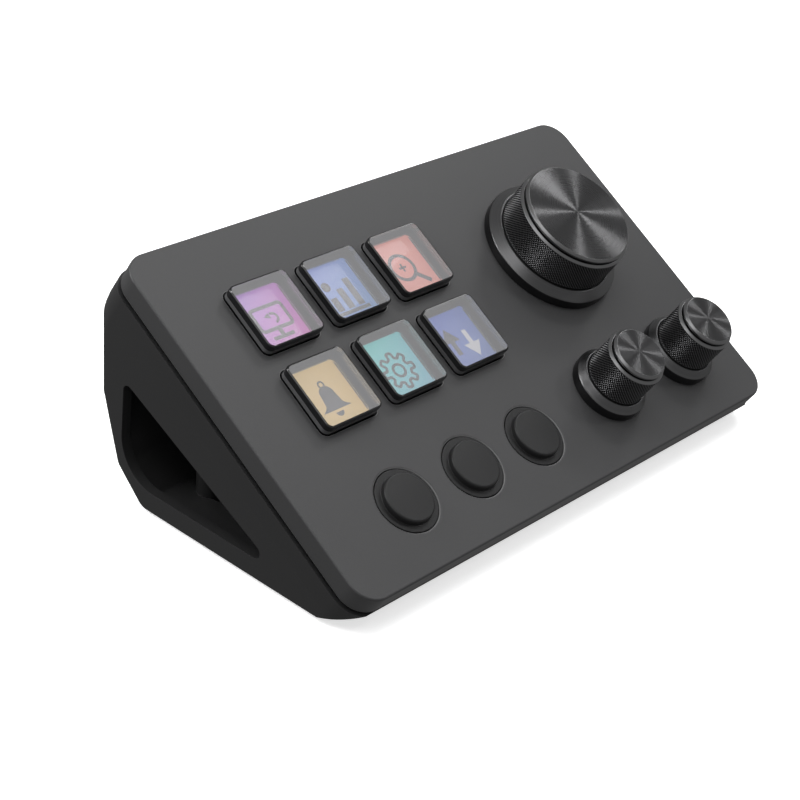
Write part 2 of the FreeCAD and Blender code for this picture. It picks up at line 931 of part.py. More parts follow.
def socket_tongue():
    tongue = along_v(tongue_width, tongue_thickness, 0, socket_length - socket_wall,
                     socket_level())
    front = slab(socket_width, 2 * (socket_length - tongue_length - socket_wall), 0,
                 floor_top, 0, 0, socket_rear())
    return on_slope(tongue.cut(front))


def push_button(u, v):
    """Raised cap on a brim that fills its opening, with a retaining flange and a stem."""
    cap = pin(button_radius, button_flange_top, button_proud, u, v)
    rim = [edge for edge in cap.Edges if edge.BoundBox.ZMin > button_proud - button_round]
    cap = cap.makeFillet(button_round, rim[:1])
    brim = pin(button_brim_radius, button_flange_top, -button_brim_sunk, u, v)
    flange = pin(button_brim_radius + button_flange_reach,
                 button_flange_top - button_flange_thickness, button_flange_top, u, v)
    low = button_flange_top - overrun
    hollows = [
        pin(button_radius - button_wall, low, button_proud - button_wall, u, v),
        pin(button_brim_radius - button_wall, low, -button_brim_sunk - button_wall, u, v),
    ]
    stem = pin(button_stem_radius, plunger_top, button_proud - button_wall, u, v)
    return on_slope(cap.fuse([brim, flange]).cut(hollows).fuse(stem).removeSplitter())


def switch_body(u, v):
    body = slab(switch_side, switch_side, 0, board_top, switch_top, u, v)
    well = pin(switch_plunger_radius + running,
               plunger_top - switch_plunger_length - switch_well_spare, overrun, u, v)
    return on_slope(body.cut(well))


def switch_plunger(u, v):
    return on_slope(pin(switch_plunger_radius, plunger_top - switch_plunger_length,
                        plunger_top, u, v))


def dial_collar(u, v, radius, collar):
    """Fixed ring round a dial: upright wall, satin cone, bore and clamped floor."""
    bore = radius + collar_gap
    top = collar_wall_height + collar_cone_height
    profile = [
        (bushing_radius + slip, 0),
        (collar, 0),
        (collar, collar_wall_height - running),
        (collar - running, collar_wall_height),
        (bore + collar_land, top),
        (bore, top),
        (bore, collar_floor),
        (bushing_radius + slip, collar_floor),
    ]
    return on_slope(turned(profile, u, v))


def knurl_ring(radius, low, high, u, v):
    """Toothed band: straight grooves all round, at about the named pitch."""
    count = round(2 * math.pi * radius / knurl_pitch)
    points = []
    for i in range(2 * count):
        reach = radius - knurl_depth * (i % 2)
        angle = i * math.pi / count
        points.append(vector(reach * math.cos(angle), reach * math.sin(angle), low))
    face = Part.Face(Part.makePolygon(points + points[:1]))
    return face.extrude(vector(0, 0, high - low)).translate(vector(u, v, 0))


def dial_body(u, v, radius):
    """Knurled shell with a plain foot band, a chamfered crown and a hub on the shaft."""
    band = dial_foot + dial_band
    crown = dial_body_top - dial_chamfer
    inner = radius - dial_shell
    nut_room = bushing_top + dial_press + travel_spare
    foot = turned([(0, dial_foot), (radius, dial_foot), (radius, band), (0, band)])
    head = turned([
        (0, crown),
        (radius, crown),
        (radius - dial_chamfer, dial_body_top),
        (0, dial_body_top),
    ])
    grip = knurl_ring(radius, band, crown, 0, 0)
    body = foot.fuse([grip, head])
    hollow = [
        (0, 0),
        (inner, 0),
        (inner, crown - dial_crown),
        (dial_hub_radius, crown - dial_crown),
        (dial_hub_radius, nut_room),
        (0, nut_room),
    ]
    if inner - dial_hub_radius < dial_shell:
        hollow = [(0, 0), (inner, 0), (inner, nut_room), (0, nut_room)]
    body = body.cut(turned(hollow))
    recess = pin(radius - dial_groove_depth - dial_chamfer + slip,
                 shaft_top + shaft_spare, overrun * 3)
    bore = shaft_form(0, dial_foot, shaft_top + shaft_spare)
    body = body.cut([recess, bore])
    return on_slope(body.translate(vector(u, v, 0)))


def dial_cap(u, v, radius):
    """Turned disc with a bevelled rim, set on the crown by a narrower spigot."""
    low = dial_top - dial_cap_thickness
    edge = radius - dial_cap_set_in
    spigot = radius - dial_groove_depth - dial_chamfer
    profile = [
        (0, low - dial_spigot_height),
        (spigot, low - dial_spigot_height),
        (spigot, low),
        (edge, low),
        (edge, dial_top - dial_cap_bevel),
        (edge - dial_cap_bevel, dial_top),
        (0, dial_top),
    ]
    return on_slope(turned(profile, u, v))


def shaft_form(grow, low, high):
    """Round shaft with one flat, grown by a clearance."""
    round_bar = pin(shaft_radius + grow, low, high)
    reach = shaft_radius - shaft_flat + grow
    flat = slab(2 * shaft_radius, 4 * shaft_radius, 0, bushing_top + overrun / 2,
                high + overrun, reach + shaft_radius)
    return round_bar.cut(flat)


def encoder_shaft(u, v):
    """Shaft with its rotor disc, which the encoder's roof keeps in."""
    rotor = pin(rotor_radius, cavity_top - rotor_gap - rotor_thickness,
                cavity_top - rotor_gap)
    shaft = shaft_form(0, shaft_bottom, shaft_top).fuse(rotor)
    return on_slope(shaft.translate(vector(u, v, 0)))


def encoder_body(u, v):
    """Square case with its threaded bushing, hollow for the rotor and the slider."""
    case = slab(encoder_side, encoder_side, 0, board_top, encoder_top)
    bushing = pin(bushing_radius, encoder_top, bushing_top)
    cavity = slab(cavity_side, cavity_side, 0, board_top + encoder_base, cavity_top)
    bore = pin(shaft_radius + running, cavity_top - running, overrun)
    body = case.fuse(bushing).cut([cavity, bore])
    return on_slope(body.translate(vector(u, v, 0)))


def encoder_slider(u, v):
    """Square plate under the shaft, which takes the press and doesn't turn."""
    side = cavity_side - 2 * slip
    return on_slope(slab(side, side, 0, slider_bottom, slider_top, u, v))


def encoder_nut(u, v):
    nut = hexagon(nut_flats, collar_floor, collar_floor + nut_thickness, u, v)
    return on_slope(nut.cut(pin(bushing_radius, 0, overrun, u, v)))


def build():
    """All nodes by name: one solid each, or a list of alike fixed pieces."""
    nodes = {
        "faceplate": on_slope(faceplate()),
        "stand": stand(),
        "bottom_cover": bottom_cover(),
        "feet": feet(),
        "cover_screws": cover_screws(),
        "case_screws": case_screws(),
        "board_screws": board_screws(),
        "key_grid": key_grid(),
        "key_membrane": key_membrane(),
        "contact_film": contact_film(),
        "display_panel": display_panel(),
        "display_frame": display_frame(),
        "display_ribbon": display_ribbon(),
        "main_board": main_board(),
        "board_parts": board_parts(),
        "power_socket": power_socket(),
        "socket_tongue": socket_tongue(),
        "switch_bodies": [switch_body(u, v) for u, v in button_places()],
        "encoder_bodies": [encoder_body(u, v) for u, v in dial_places()],
        "encoder_nuts": [encoder_nut(u, v) for u, v in dial_places()],
    }
    for i, (u, v) in enumerate(key_places()):
        nodes[f"key_cap_{i + 1}"] = key_cap(u, v)
    for i, (u, v) in enumerate(button_places()):
        nodes[f"push_button_{i + 1}"] = push_button(u, v)
        nodes[f"switch_plunger_{i + 1}"] = switch_plunger(u, v)
    for name, u, v, radius, collar in dials:
        nodes[f"dial_{name}_collar"] = dial_collar(u, v, radius, collar)
        nodes[f"dial_{name}_body"] = dial_body(u, v, radius)
        nodes[f"dial_{name}_cap"] = dial_cap(u, v, radius)
        nodes[f"dial_{name}_shaft"] = encoder_shaft(u, v)
        nodes[f"dial_{name}_slider"] = encoder_slider(u, v)
    return nodes


def write(nodes):
    """Stand the keypad on its feet, centred on its box, and write one file per node."""
    os.makedirs("parts", exist_ok=True)
    shapes = {
        name: Part.Compound(shape) if isinstance(shape, list) else shape
        for name, shape in nodes.items()
    }
    box = Part.Compound(list(shapes.values())).optimalBoundingBox(True, False)
    shift = vector(-(box.XMin + box.XMax) / 2, -(box.YMin + box.YMax) / 2, -box.ZMin)
    print("shift", shift, "size", box.XLength, box.YLength, box.ZLength)
    for name, shape in shapes.items():
        placed = shape.copy()
        placed.translate(shift)
        placed.exportStep(f"parts/{name}.step")


write(build())
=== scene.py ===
import json
import logging
import math
from collections.abc import Sequence
from dataclasses import dataclass, field
from enum import Enum

import bmesh
import bpy
import numpy as np
from mathutils import Matrix, Vector


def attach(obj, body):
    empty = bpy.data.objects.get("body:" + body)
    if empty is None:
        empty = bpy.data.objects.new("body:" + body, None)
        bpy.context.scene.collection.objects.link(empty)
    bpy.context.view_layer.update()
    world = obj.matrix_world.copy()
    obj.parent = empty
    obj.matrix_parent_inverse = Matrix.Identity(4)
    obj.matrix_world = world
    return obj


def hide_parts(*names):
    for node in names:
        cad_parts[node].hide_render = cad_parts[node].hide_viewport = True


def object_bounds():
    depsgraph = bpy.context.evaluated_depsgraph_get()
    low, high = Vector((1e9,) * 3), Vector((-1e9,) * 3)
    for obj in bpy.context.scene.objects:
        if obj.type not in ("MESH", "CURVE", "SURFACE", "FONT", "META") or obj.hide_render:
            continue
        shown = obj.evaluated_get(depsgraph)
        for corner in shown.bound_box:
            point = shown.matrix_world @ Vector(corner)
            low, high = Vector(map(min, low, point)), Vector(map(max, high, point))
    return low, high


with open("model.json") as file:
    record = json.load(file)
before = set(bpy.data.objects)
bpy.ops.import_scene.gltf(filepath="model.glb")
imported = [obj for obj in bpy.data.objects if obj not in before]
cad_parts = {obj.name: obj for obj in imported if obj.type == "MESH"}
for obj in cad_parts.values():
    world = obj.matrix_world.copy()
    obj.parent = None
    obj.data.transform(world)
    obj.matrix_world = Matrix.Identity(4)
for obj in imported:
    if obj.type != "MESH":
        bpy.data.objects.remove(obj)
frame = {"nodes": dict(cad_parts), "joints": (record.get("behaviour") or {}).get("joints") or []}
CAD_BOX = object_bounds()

# The visual model of a macro keypad: a sloping face with display keys, push buttons and
# knurled dials, on a hollow stand. Lengths are in millimetres until a mesh is written.
# On the face, u runs to the right, v up the slope and w out of it, with w = 0 on its skin.

MM = 0.001
LOG = logging.getLogger("keypad")
Array = np.ndarray
Colour = tuple[float, float, float]
Material = bpy.types.Material
Piece = bpy.types.Object

# Two points of a mesh nearer than the first are one, in metres. A radius, a length and a
# step of a profile below the others count as none, in millimetres.
SAME_POINT = 1e-6
ON_AXIS = 1e-6
NO_LENGTH = 1e-9
NO_STEP = 1e-5


class Dial(Enum):
    """The three dials by the name of their CAD body."""

    MAIN = "main"
    LEFT = "left"
    RIGHT = "right"


class Glyph(Enum):
    """The plain symbols shown under the keys."""

    SCREEN = "screen"
    CHART = "chart"
    LENS = "lens"
    BELL = "bell"
    GEAR = "gear"
    ARROWS = "arrows"


# Frame of the face

@dataclass(frozen=True)
class FaceFrame:
    """The sloping face as a frame of its own, hung on the main dial's hinge."""

    origin: Array
    right: Array
    uphill: Array
    outward: Array

    @classmethod
    def from_hinge(cls, joint: dict, u: float, v: float) -> "FaceFrame":
        """Take the face's frame from a dial's hinge.

        Args:
            joint: the hinge's row in the record, with its point and axis.
            u: where the hinge stands on the face, to the right of the middle.
            v: where it stands up the slope.

        Returns:
            The frame whose origin is the middle of the face's skin.
        """
        outward = np.array(joint["axis"], float)
        outward /= np.linalg.norm(outward)
        right = np.array([1.0, 0.0, 0.0])
        uphill = np.cross(outward, right)
        origin = np.array(joint["pos_m"], float) / MM - u * right - v * uphill
        return cls(origin, right, uphill, outward)

    def place(self, points: Array) -> Array:
        """Carry points of the face to the row frame: origin + u right + v uphill + w outward.

        Args:
            points: (..., 3) points (u, v, w) in millimetres.

        Returns:
            Points in metres, in an array of the same shape.
        """
        axes = np.stack([self.right, self.uphill, self.outward])
        moved = (self.origin + points.reshape(-1, 3) @ axes) * MM
        return moved.reshape(points.shape)

    def turn(self) -> Matrix:
        """Return the rotation from the face's frame to the row frame."""
        return Matrix([[self.right[i], self.uphill[i], self.outward[i]] for i in range(3)])

    def point(self, u: float, v: float, w: float) -> Vector:
        """Return one point of the face in the row frame, in metres."""
        return Vector(self.place(np.array([u, v, w], float)))


@dataclass(frozen=True)
class Layout:
    """Where the keys, buttons and dials stand on the face."""

    key_pitch: float = 17.3
    key_grid: tuple[float, float] = (-21.28, 8.44)
    button_row: float = -23.15
    main_dial: tuple[float, float] = (31.43, 9.42)
    small_dial_row: float = -21.1
    small_dial_spread: float = 22.84

    def keys(self) -> list[tuple[float, float]]:
        """Return the middles of the six keys, row by row from the top left."""
        u, v = self.key_grid
        return [
            (u + (column - 1) * self.key_pitch, v - (row - 0.5) * self.key_pitch)
            for row in range(2)
            for column in range(3)
        ]

    def buttons(self) -> list[tuple[float, float]]:
        """Return the middles of the three buttons, below the columns of keys."""
        return [(u, self.button_row) for u, _ in self.keys()[:3]]

    def dial(self, dial: Dial) -> tuple[float, float]:
        """Find the middle of a dial.

        Args:
            dial: which dial.

        Returns:
            Its place to the right and up the slope.
        """
        if dial is Dial.MAIN:
            return self.main_dial
        side = -0.5 if dial is Dial.LEFT else 0.5
        return self.main_dial[0] + side * self.small_dial_spread, self.small_dial_row


LAYOUT = Layout()
HINGE = next(joint for joint in frame["joints"] if joint["name"] == "dial_main_turn")
FACE = FaceFrame.from_hinge(HINGE, *LAYOUT.main_dial)


# Surfaces

class Surface:
    """A mesh gathered from patches of points, each with its faces and its UV."""

    def __init__(self) -> None:
        """Start with no patches."""
        self.points: list[Array] = []
        self.faces: list[Array] = []
        self.corners: list[Array] = []
        self.looks: list[Array] = []
        self.count = 0

    def add(self, points: Array, index: Array, uv: Array, look: Array | int = 0) -> None:
        """Add a patch.

        Args:
            points: (n, 3) points of the patch.
            index: (f, k) which of them each face joins.
            uv: (f, k, 2) UV of the faces' corners.
            look: which finish its faces take, as one number or one for each face.
        """
        self.points.append(points)
        self.faces.append(index + self.count)
        self.corners.append(uv)
        self.looks.append(np.broadcast_to(look, len(index)))
        self.count += len(points)

    def grid(self, points: Array, around: bool = False, along: bool = False,
             look: Array | int = 0) -> None:
        """Add a grid of points as four-sided faces.

        Face (i, j) joins the points (i, j), (i, j + 1), (i + 1, j + 1) and (i + 1, j).
        Its UV is (j / columns, i / rows), counted on past a closed seam.

        Args:
            points: (rows, columns, 3) points.
            around: True where the last column joins the first.
            along: True where the last row joins the first.
            look: which finish the faces take, as one number, one for each row, or one
                for each face.
        """
        rows, columns = points.shape[:2]
        i, j = np.meshgrid(
            np.arange(rows if along else rows - 1),
            np.arange(columns if around else columns - 1),
            indexing="ij",
        )
        steps = ((0, 0), (0, 1), (1, 1), (1, 0))
        index = np.stack(
            [((i + a) % rows) * columns + (j + b) % columns for a, b in steps], axis=-1
        )
        uv = np.stack(
            [np.stack([(j + b) / columns, (i + a) / rows], axis=-1) for a, b in steps],
            axis=2,
        )
        table = look if np.ndim(look) == 2 else np.reshape(look, (-1, 1))
        looks = np.broadcast_to(table, i.shape).reshape(-1)
        self.add(points.reshape(-1, 3), index.reshape(-1, 4), uv.reshape(-1, 4, 2), looks)

    def polygon(self, points: Array, flip: bool = False) -> None:
        """Add one flat face.

        Args:
            points: (n, 3) points round it.
            flip: True to turn it over.
        """
        order = np.arange(len(points))[None, :]
        self.add(points, order[:, ::-1] if flip else order, np.zeros((1, len(points), 2)))

    def fan(self, ring: Array, pole: Array, flip: bool = False) -> None:
        """Close a ring of points with triangles that meet in a pole.

        Args:
            ring: (n, 3) points round the pole.
            pole: (3,) the point where the triangles meet.
            flip: True to turn them over.
        """
        n = len(ring)
        a = np.arange(n)
        index = np.stack([a, (a + 1) % n, np.full(n, n)], axis=-1)
        uv = np.stack([np.stack([a / n, a * 0.0], -1), np.stack([(a + 1) / n, a * 0.0], -1),
                       np.stack([(a + 0.5) / n, a * 0.0 + 1], -1)], axis=1)
        if flip:
            index, uv = index[:, ::-1], uv[:, ::-1]
        self.add(np.vstack([ring, pole[None, :]]), index, uv)

    def piece(self, name: str, *finishes: Material, sharp: float = 30.0) -> Piece:
        """Write the patches as one mesh object at the origin.

        Points that fall together, at seams and between patches, become one.

        Args:
            name: name of the object.
            finishes: its materials, in the order that its faces count them.
            sharp: angle in degrees past which an edge stays crisp.

        Returns:
            The new object, linked to the scene.
        """
        mesh = bpy.data.meshes.new(name)
        points = np.vstack(self.points)
        sizes = np.concatenate([np.full(len(f), f.shape[1]) for f in self.faces])
        loops = np.concatenate([f.reshape(-1) for f in self.faces])
        mesh.vertices.add(len(points))
        mesh.vertices.foreach_set("co", points.astype(np.float32).reshape(-1))
        mesh.loops.add(len(loops))
        mesh.loops.foreach_set("vertex_index", loops.astype(np.int32))
        mesh.polygons.add(len(sizes))
        starts = np.concatenate([[0], np.cumsum(sizes)[:-1]])
        mesh.polygons.foreach_set("loop_start", starts.astype(np.int32))
        mesh.polygons.foreach_set("loop_total", sizes.astype(np.int32))
        uv = np.concatenate([c.reshape(-1, 2) for c in self.corners])
        mesh.uv_layers.new(name="UVMap").data.foreach_set(
            "uv", uv.astype(np.float32).reshape(-1))
        mesh.polygons.foreach_set("material_index", np.concatenate(self.looks).astype(np.int32))
        mesh.update(calc_edges=True)
        form = bmesh.new()
        form.from_mesh(mesh)
        bmesh.ops.remove_doubles(form, verts=form.verts, dist=SAME_POINT)
        form.to_mesh(mesh)
        form.free()
        return link(name, mesh, finishes, sharp)


def link(name: str, mesh: bpy.types.Mesh, finishes: Sequence[Material],
         sharp: float) -> Piece:
    """Put a mesh in the scene with smooth faces and crisp edges.

    Args:
        name: name of the object and its mesh.
        mesh: the mesh, whose faces already count their finishes where it has several.
        finishes: its materials.
        sharp: angle in degrees past which an edge stays crisp.

    Returns:
        The object.
    """
    mesh.name = name
    looks = np.zeros(len(mesh.polygons), np.int32)
    if len(finishes) > 1:
        mesh.polygons.foreach_get("material_index", looks)
    mesh.materials.clear()
    for finish in finishes:
        mesh.materials.append(finish)
    mesh.polygons.foreach_set("material_index", looks)
    mesh.polygons.foreach_set("use_smooth", np.ones(len(mesh.polygons), bool))
    mesh.set_sharp_from_angle(angle=math.radians(sharp))
    mesh.validate()
    piece = bpy.data.objects.new(name, mesh)
    bpy.context.scene.collection.objects.link(piece)
    return piece


def rounded(corners: Sequence[tuple[float, float, float]], steps: int = 5,
            closed: bool = False, support: float = 0.04) -> Array:
    """Profile through corners, each with its own rounding.

    A corner C with legs along a and b becomes (1-t)^2 A + 2t(1-t) C + t^2 B, where A and
    B lie on the legs at the corner's radius. One more point on each leg, a little before
    A and after B, keeps the shading of the flats even. A radius of 0 keeps the corner.

    Args:
        corners: (x, y, radius) of each corner.
        steps: points on each rounding.
        closed: True where the last corner joins the first.
        support: how far the extra points stand off.

    Returns:
        (n, 2) points of the profile.
    """
    c = np.array(corners, float)
    p, radius = c[:, :2], c[:, 2].copy()
    before, after = np.roll(p, 1, axis=0) - p, np.roll(p, -1, axis=0) - p
    if not closed:
        radius[[0, -1]] = 0
    back = before / np.maximum(np.linalg.norm(before, axis=1, keepdims=True), NO_LENGTH)
    ahead = after / np.maximum(np.linalg.norm(after, axis=1, keepdims=True), NO_LENGTH)
    t = np.linspace(0, 1, steps)[None, :, None]
    a, b = p + back * radius[:, None], p + ahead * radius[:, None]
    arc = (1 - t) ** 2 * a[:, None] + 2 * t * (1 - t) * p[:, None] + t ** 2 * b[:, None]
    extra = np.where(radius > 0, support, 0)[:, None]
    arc = np.concatenate([(a + back * extra)[:, None], arc, (b + ahead * extra)[:, None]], axis=1)
    line = arc.reshape(-1, 2)
    keep = np.ones(len(line), bool)
    keep[1:] = np.linalg.norm(np.diff(line, axis=0), axis=1) > NO_STEP
    return line[keep]


def swept(radius: Array, level: Array, count: int, u: float, v: float) -> Array:
    """Grid of points about the line through (u, v) along the face's normal.

    Point (i, j) is (u + r_ij cos a_j, v + r_ij sin a_j, w_i) for a_j = 2 pi j / count.

    Args:
        radius: (n, 1) radii, or (n, count) where they change round the axis.
        level: (n, 1) levels.
        count: points round the axis.
        u: place of the axis to the right.
        v: place of the axis up the slope.

    Returns:
        (n, count, 3) points in the row frame.
    """
    angle = 2 * np.pi * np.arange(count) / count
    grid = np.stack([u + radius * np.cos(angle), v + radius * np.sin(angle),
                     np.repeat(level, count, axis=1)], axis=-1)
    return FACE.place(grid)


def turned(profile: Array, count: int, u: float, v: float, closed: bool = False,
           look: Array | int = 0) -> Surface:
    """Surface of revolution about the line through (u, v) along the face's normal.

    A profile that starts or ends on the axis closes in a pole.

    Args:
        profile: (n, 2) radii and levels, with the material on the left of its direction.
        count: faces round the axis.
        u: place of the axis to the right.
        v: place of the axis up the slope.
        closed: True where the profile is a loop off the axis.
        look: which finish the faces take, as one number or one for each row between poles.

    Returns:
        The surface.
    """
    surface = Surface()
    first, last = profile[0, 0] < ON_AXIS, profile[-1, 0] < ON_AXIS
    rows = profile[1 if first else 0: -1 if last else None]
    placed = swept(rows[:, :1], rows[:, 1:], count, u, v)
    surface.grid(placed, around=True, along=closed, look=look)
    for on_axis, row in ((first, 0), (last, -1)):
        if on_axis:
            pole = FACE.place(np.array([u, v, profile[row, 1]]))
            surface.fan(placed[row], pole, flip=row == 0)
    return surface


def rounded_square(half: Array, corner: Array, steps: int = 7, support: float = 0.05,
                   most: float = 0.2) -> Array:
    """Outlines of squares with round corners, one for each half side.

    Corner k has its centre at (half - r) (sx, sy), and its arc runs over the angles from
    k pi/2 to (k + 1) pi/2, so that every outline has the same number of points. One more
    point stands off each end of an arc, along its tangent.

    Args:
        half: (n,) half sides.
        corner: (n,) corner radii.
        steps: points on each corner.
        support: how far the extra points stand off.
        most: the most that this may be, as a share of the corner's distance.

    Returns:
        (n, 4 * (steps + 2), 2) points.
    """
    share = np.concatenate([[0], np.linspace(0, 1, steps), [1]])
    slide = np.zeros(steps + 2)
    slide[0], slide[-1] = -1, 1
    k = np.arange(4)[:, None]
    angle = (k + share) * np.pi / 2
    signs = np.stack([np.array([1, -1, -1, 1]), np.array([1, 1, -1, -1])], -1)[:, None, :]
    arc = np.stack([np.cos(angle), np.sin(angle)], -1)
    tangent = np.stack([-np.sin(angle), np.cos(angle)], -1) * slide[None, :, None]
    inner = (half - corner)[:, None, None, None]
    near = np.minimum(support, (half - corner) * most)[:, None, None, None]
    outline = inner * signs + corner[:, None, None, None] * arc + near * tangent
    return outline.reshape(len(half), -1, 2)


def stacked(stations: Sequence[tuple[float, float, float]], u: float, v: float,
            look: Array | int = 0) -> Surface:
    """Closed block whose outline is a rounded square at each station.

    Args:
        stations: (half side, corner radius, level) from the underside to the top.
        u: middle of the block to the right.
        v: middle of the block up the slope.
        look: which finish each row of its walls takes.

    Returns:
        The surface, closed at both ends by a flat face.
    """
    s = np.array(stations, float)
    outline = rounded_square(s[:, 0], s[:, 1])
    level = np.repeat(s[:, 2][:, None, None], outline.shape[1], axis=1)
    placed = FACE.place(np.concatenate([outline + np.array([u, v]), level], axis=-1))
    surface = Surface()
    surface.grid(placed, around=True, look=look)
    surface.polygon(placed[0], flip=True)
    surface.polygon(placed[-1])
    return surface


# Shader maths

class Sock:
    """An output of a node, with the operators that add Math nodes behind it."""

    def __init__(self, owner: "Recipe", socket: bpy.types.NodeSocket) -> None:
        """Wrap a socket of the owner's tree."""
        self.owner, self.socket = owner, socket

    def maths(self, operation: str, *values: "Sock | float") -> "Sock":
        """Add a Math node over this value and others."""
        inputs = dict(enumerate((self, *values)))
        return self.owner.node("ShaderNodeMath", {"operation": operation}, inputs)

    def __add__(self, other: "Sock | float") -> "Sock":
        """Return the sum."""
        return self.maths("ADD", other)

    def __radd__(self, other: float) -> "Sock":
        """Return the sum with a number in front."""
        return self.maths("ADD", other)

    def __sub__(self, other: "Sock | float") -> "Sock":
        """Return the difference."""
        return self.maths("SUBTRACT", other)

    def __rsub__(self, other: float) -> "Sock":
        """Return a number less this value."""
        return (self * -1.0).maths("ADD", other)

    def __mul__(self, other: "Sock | float") -> "Sock":
        """Return the product."""
        return self.maths("MULTIPLY", other)

    def __rmul__(self, other: float) -> "Sock":
        """Return the product with a number in front."""
        return self.maths("MULTIPLY", other)

    def clamped(self) -> "Sock":
        """Return the value held between 0 and 1."""
        settings = {"operation": "ADD", "use_clamp": True}
        return self.owner.node("ShaderNodeMath", settings, {0: self, 1: 0.0})


class Recipe:
    """One material, built node by node."""

    def __init__(self, name: str) -> None:
        """Start a material with an empty tree and an output."""
        self.material = bpy.data.materials.new(name)
        self.material.use_nodes = True
        self.tree = self.material.node_tree
        self.tree.nodes.clear()
        self.output = self.tree.nodes.new("ShaderNodeOutputMaterial")

    def node(self, kind: str, settings: dict | None = None, inputs: dict | None = None,
             out: int | str = 0) -> Sock:
        """Add a node.

        Args:
            kind: the node's type.
            settings: its properties.
            inputs: the value or link of each input, by name or number.
            out: which output to hand on.

        Returns:
            The chosen output.
        """
        made = self.tree.nodes.new(kind)
        for key, value in (settings or {}).items():
            setattr(made, key, value)
        for key, value in (inputs or {}).items():
            if isinstance(value, Sock):
                self.tree.links.new(value.socket, made.inputs[key])
            else:
                made.inputs[key].default_value = value
        return Sock(self, made.outputs[out])

    def millimetres(self, place: Sock) -> Sock:
        """Scale a place from metres to millimetres."""
        return self.node("ShaderNodeVectorMath", {"operation": "SCALE"},
                         {0: place, "Scale": 1 / MM})

    def place(self) -> Sock:
        """Return Object coordinates in millimetres."""
        return self.millimetres(self.node("ShaderNodeTexCoord", out="Object"))

    def on_face(self, u: float, v: float) -> Sock:
        """Return Object coordinates in millimetres, in the face's frame about (u, v).

        A Mapping node makes R (p - c) of a place p, where R turns the row frame into the
        face's, and c is the point (u, v) of its skin.

        Args:
            u: the new origin's place to the right.
            v: its place up the slope.

        Returns:
            The coordinates.
        """
        axes = FACE.turn().transposed()
        inputs = {"Vector": self.node("ShaderNodeTexCoord", out="Object"),
                  "Location": axes @ -FACE.point(u, v, 0), "Rotation": axes.to_euler()}
        return self.millimetres(
            self.node("ShaderNodeMapping", {"vector_type": "POINT"}, inputs))

    def axes(self, vector: Sock) -> tuple[Sock, ...]:
        """Split a vector into its three values."""
        first = self.node("ShaderNodeSeparateXYZ", inputs={0: vector})
        return tuple(Sock(self, output) for output in first.socket.node.outputs)

    def noise(self, place: Sock, scale: float, detail: float = 2.0,
              rough: float = 0.5) -> Sock:
        """Return noise from 0 to 1 over a place in millimetres."""
        return self.node("ShaderNodeTexNoise", {"noise_dimensions": "3D"},
                         {"Vector": place, "Scale": scale, "Detail": detail,
                          "Roughness": rough})

    def blend(self, factor: "Sock | float", first: Colour, second: Colour) -> Sock:
        """Mix two colours by a factor."""
        inputs = {0: factor, 6: opaque(first), 7: opaque(second)}
        return self.node("ShaderNodeMix", {"data_type": "RGBA"}, inputs, out=2)

    def bump(self, height: Sock, depth: float, strength: float = 1.0) -> Sock:
        """Turn a height from 0 to 1 into a normal, with its depth in millimetres."""
        return self.node("ShaderNodeBump", None,
                         {"Height": height, "Distance": depth * MM, "Strength": strength})

    def principled(self, values: dict) -> Material:
        """End the material with a Principled shader.

        Args:
            values: value or link of each of its sockets.

        Returns:
            The finished material.
        """
        shader = self.node("ShaderNodeBsdfPrincipled", None, values)
        self.tree.links.new(shader.socket, self.output.inputs["Surface"])
        return self.material


def opaque(colour: Colour) -> tuple[float, float, float, float]:
    """Return a colour with a full alpha."""
    return (*colour, 1.0)


def gained(colour: Colour, gain: float) -> Colour:
    """Return a colour made lighter or darker by a factor."""
    return tuple(c * gain for c in colour)


def linear(colour: Colour) -> Colour:
    """Turn a screen colour into a linear one.

    A value s becomes s / 12.92 up to 0.04045, and ((s + 0.055) / 1.055)^2.4 above.

    Args:
        colour: screen values from 0 to 255.

    Returns:
        Linear values from 0 to 1.
    """
    values = np.array(colour) / 255
    low = values / 12.92
    high = ((values + 0.055) / 1.055) ** 2.4
    return tuple(float(x) for x in np.where(values <= 0.04045, low, high))


# Finishes: a scale is that of a noise over millimetres, a depth is in millimetres, and a
# sheen is how far a pattern moves the roughness from end to end.

@dataclass(frozen=True)
class Moulded:
    """Moulded plastic: fine spark texture, faint clouding, handled sheen."""

    name: str
    tone: Colour
    rough: float = 0.5
    grain: float = 5.0
    depth: float = 0.012
    specular: float = 0.5
    grain_detail: float = 3.0
    grain_rough: float = 0.6
    grain_sheen: float = 0.12
    cloud: float = 0.12
    cloud_scale: float = 0.06
    cloud_share: float = 0.7
    cloud_sheen: float = 0.1
    speck_scale: float = 1.9

    def make(self) -> Material:
        """Build it: fine noise for the spark texture, slow noise for the tone.

        Returns:
            The material.
        """
        r = Recipe(self.name)
        place = r.place()
        fine = r.noise(place, self.grain, self.grain_detail, self.grain_rough)
        slow = r.noise(place, self.cloud_scale)
        speck = r.noise(place, self.speck_scale)
        share = slow * self.cloud_share + speck * (1 - self.cloud_share)
        rough = (fine - 0.5) * self.grain_sheen + (slow - 0.5) * self.cloud_sheen + self.rough
        return r.principled({
            "Base Color": r.blend(share.clamped(), gained(self.tone, 1 - self.cloud),
                                  gained(self.tone, 1 + self.cloud)),
            "Roughness": rough.clamped(), "Specular IOR Level": self.specular,
            "Normal": r.bump(fine, self.depth),
        })


